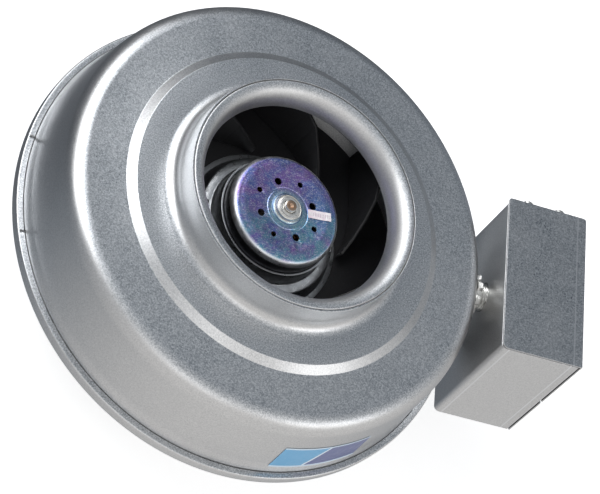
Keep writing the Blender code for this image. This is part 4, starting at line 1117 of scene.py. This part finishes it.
def dress(name, material, width=0.0002, segments=2):
    """Material, welded corners and rounded edges for a CAD node that is shown as it is."""
    node = nodes[name]
    node.data.materials.clear()
    node.data.materials.append(material)
    weld = node.modifiers.new("weld", "WELD")
    weld.merge_threshold = 0.000005
    soften(node, width, segments, 35)


def dress_nodes():
    dress("motor_bracket", STEEL_BRACKET, 0.0003)
    dress("motor_flange", CAST, 0.0004)
    dress("stator_core", DARK)
    dress("rotor_cage", DARK)
    dress("front_winding", COPPER, 0.0003)
    dress("rear_winding", COPPER, 0.0003)
    dress("front_bearing", BRIGHT)
    dress("rear_bearing", BRIGHT)
    dress("shaft_circlip", BRIGHT, 0.0001)
    dress("box_locknut", ZINC)
    dress("casing_locknut", ZINC)
    dress("knockout_plug", ZINC, 0.00015)
    dress("capacitor", WHITE, 0.0004)
    dress("capacitor_clip", ZINC)
    dress("terminal_block", WHITE, 0.0004)
    dress("earth_screw", GREEN)
    dress("motor_lead", SHEATH, 0.0001)
    for i in range(4):
        dress(f"bracket_screw_{i + 1}", ZINC)
    for i in range(3):
        dress(f"flange_screw_{i + 1}", ZINC)


# ---------------------------------------------------------------- studio


def make_floor():
    mesh = bpy.data.meshes.new("studio_floor")
    bm = bmesh.new()
    bmesh.ops.create_grid(bm, x_segments=4, y_segments=4, size=6)
    bm.to_mesh(mesh)
    bm.free()
    floor = bpy.data.objects.new("studio_floor", mesh)
    bpy.context.scene.collection.objects.link(floor)
    s = Shader("floor", (0.86, 0.86, 0.86), 0.9, 0.0)
    s.out.inputs["Emission Color"].default_value = (1, 1, 1, 1)
    s.out.inputs["Emission Strength"].default_value = 0.55
    mesh.materials.append(s.material)
    floor.visible_glossy = False


def softbox(name, azimuth, elevation, distance, size, radiance, tint=(1, 1, 1)):
    """Square soft light that faces the middle of the fan."""
    light = bpy.data.lights.new(name, "AREA")
    light.shape = "RECTANGLE"
    light.size, light.size_y = size
    light.energy = radiance * math.pi * size[0] * size[1]
    light.color = tint
    lamp = bpy.data.objects.new(name, light)
    bpy.context.scene.collection.objects.link(lamp)
    a, e = math.radians(azimuth), math.radians(elevation)
    out = Vector((math.cos(e) * math.cos(a), math.cos(e) * math.sin(a), math.sin(e)))
    target = Vector((0, 0, HEIGHT / 2))
    facing_out = out.to_track_quat("Z", "Y").to_matrix().to_4x4()
    lamp.matrix_world = Matrix.Translation(target + out * distance) @ facing_out


def make_world():
    """Grey studio: pale towards the front, dark behind the fan's left side."""
    world = bpy.data.worlds.new("studio")
    bpy.context.scene.world = world
    world.use_nodes = True
    tree = world.node_tree
    background = tree.nodes["Background"]
    coordinate = tree.nodes.new("ShaderNodeTexCoord")
    facing = tree.nodes.new("ShaderNodeVectorMath")
    facing.operation = "DOT_PRODUCT"
    tree.links.new(coordinate.outputs["Generated"], facing.inputs[0])
    facing.inputs[1].default_value = Vector((0.35, -0.93, 0.05)).normalized()
    ramp = tree.nodes.new("ShaderNodeValToRGB")
    spread = tree.nodes.new("ShaderNodeMapRange")
    spread.inputs["From Min"].default_value = -1
    tree.links.new(facing.outputs["Value"], spread.inputs["Value"])
    tree.links.new(spread.outputs["Result"], ramp.inputs["Fac"])
    tree.links.new(ramp.outputs["Color"], background.inputs["Color"])
    stops = ramp.color_ramp.elements
    stops[0].position, stops[0].color = 0.12, (0.08, 0.09, 0.105, 1)
    stops[1].position, stops[1].color = 0.85, (0.76, 0.75, 0.74, 1)
    middle = stops.new(0.35)
    middle.color = (0.24, 0.265, 0.295, 1)
    background.inputs["Strength"].default_value = 1.0


def make_camera():
    data = bpy.data.cameras.new("camera")
    data.sensor_fit = "HORIZONTAL"
    data.sensor_width = 36
    data.lens = 150
    data.clip_end = 50
    camera = bpy.data.objects.new("camera", data)
    bpy.context.scene.collection.objects.link(camera)
    right = Vector((0.87454, 0.09044, 0.47644))
    up = Vector((-0.29729, 0.87618, 0.37938))
    back = Vector((-0.38313, -0.47343, 0.79314))
    turn = Matrix((right, up, back)).transposed().to_4x4()
    camera.matrix_world = Matrix.Translation((-0.5540, -0.7199, 1.3069)) @ turn
    bpy.context.scene.camera = camera


make_shells()
make_impeller()
make_rotor()
make_box()
make_label()
dress_nodes()
make_floor()
make_world()
softbox("softbox_left", 138, 46, 1.5, (1.9, 1.1), 3.2)
softbox("softbox_front", -100, 50, 1.8, (1.0, 0.8), 0.6)
softbox("softbox_right", -35, 35, 1.9, (0.9, 0.7), 1.6)
make_camera()
bpy.context.scene.view_settings.view_transform = "Standard"
bpy.context.scene.view_settings.look = "None"
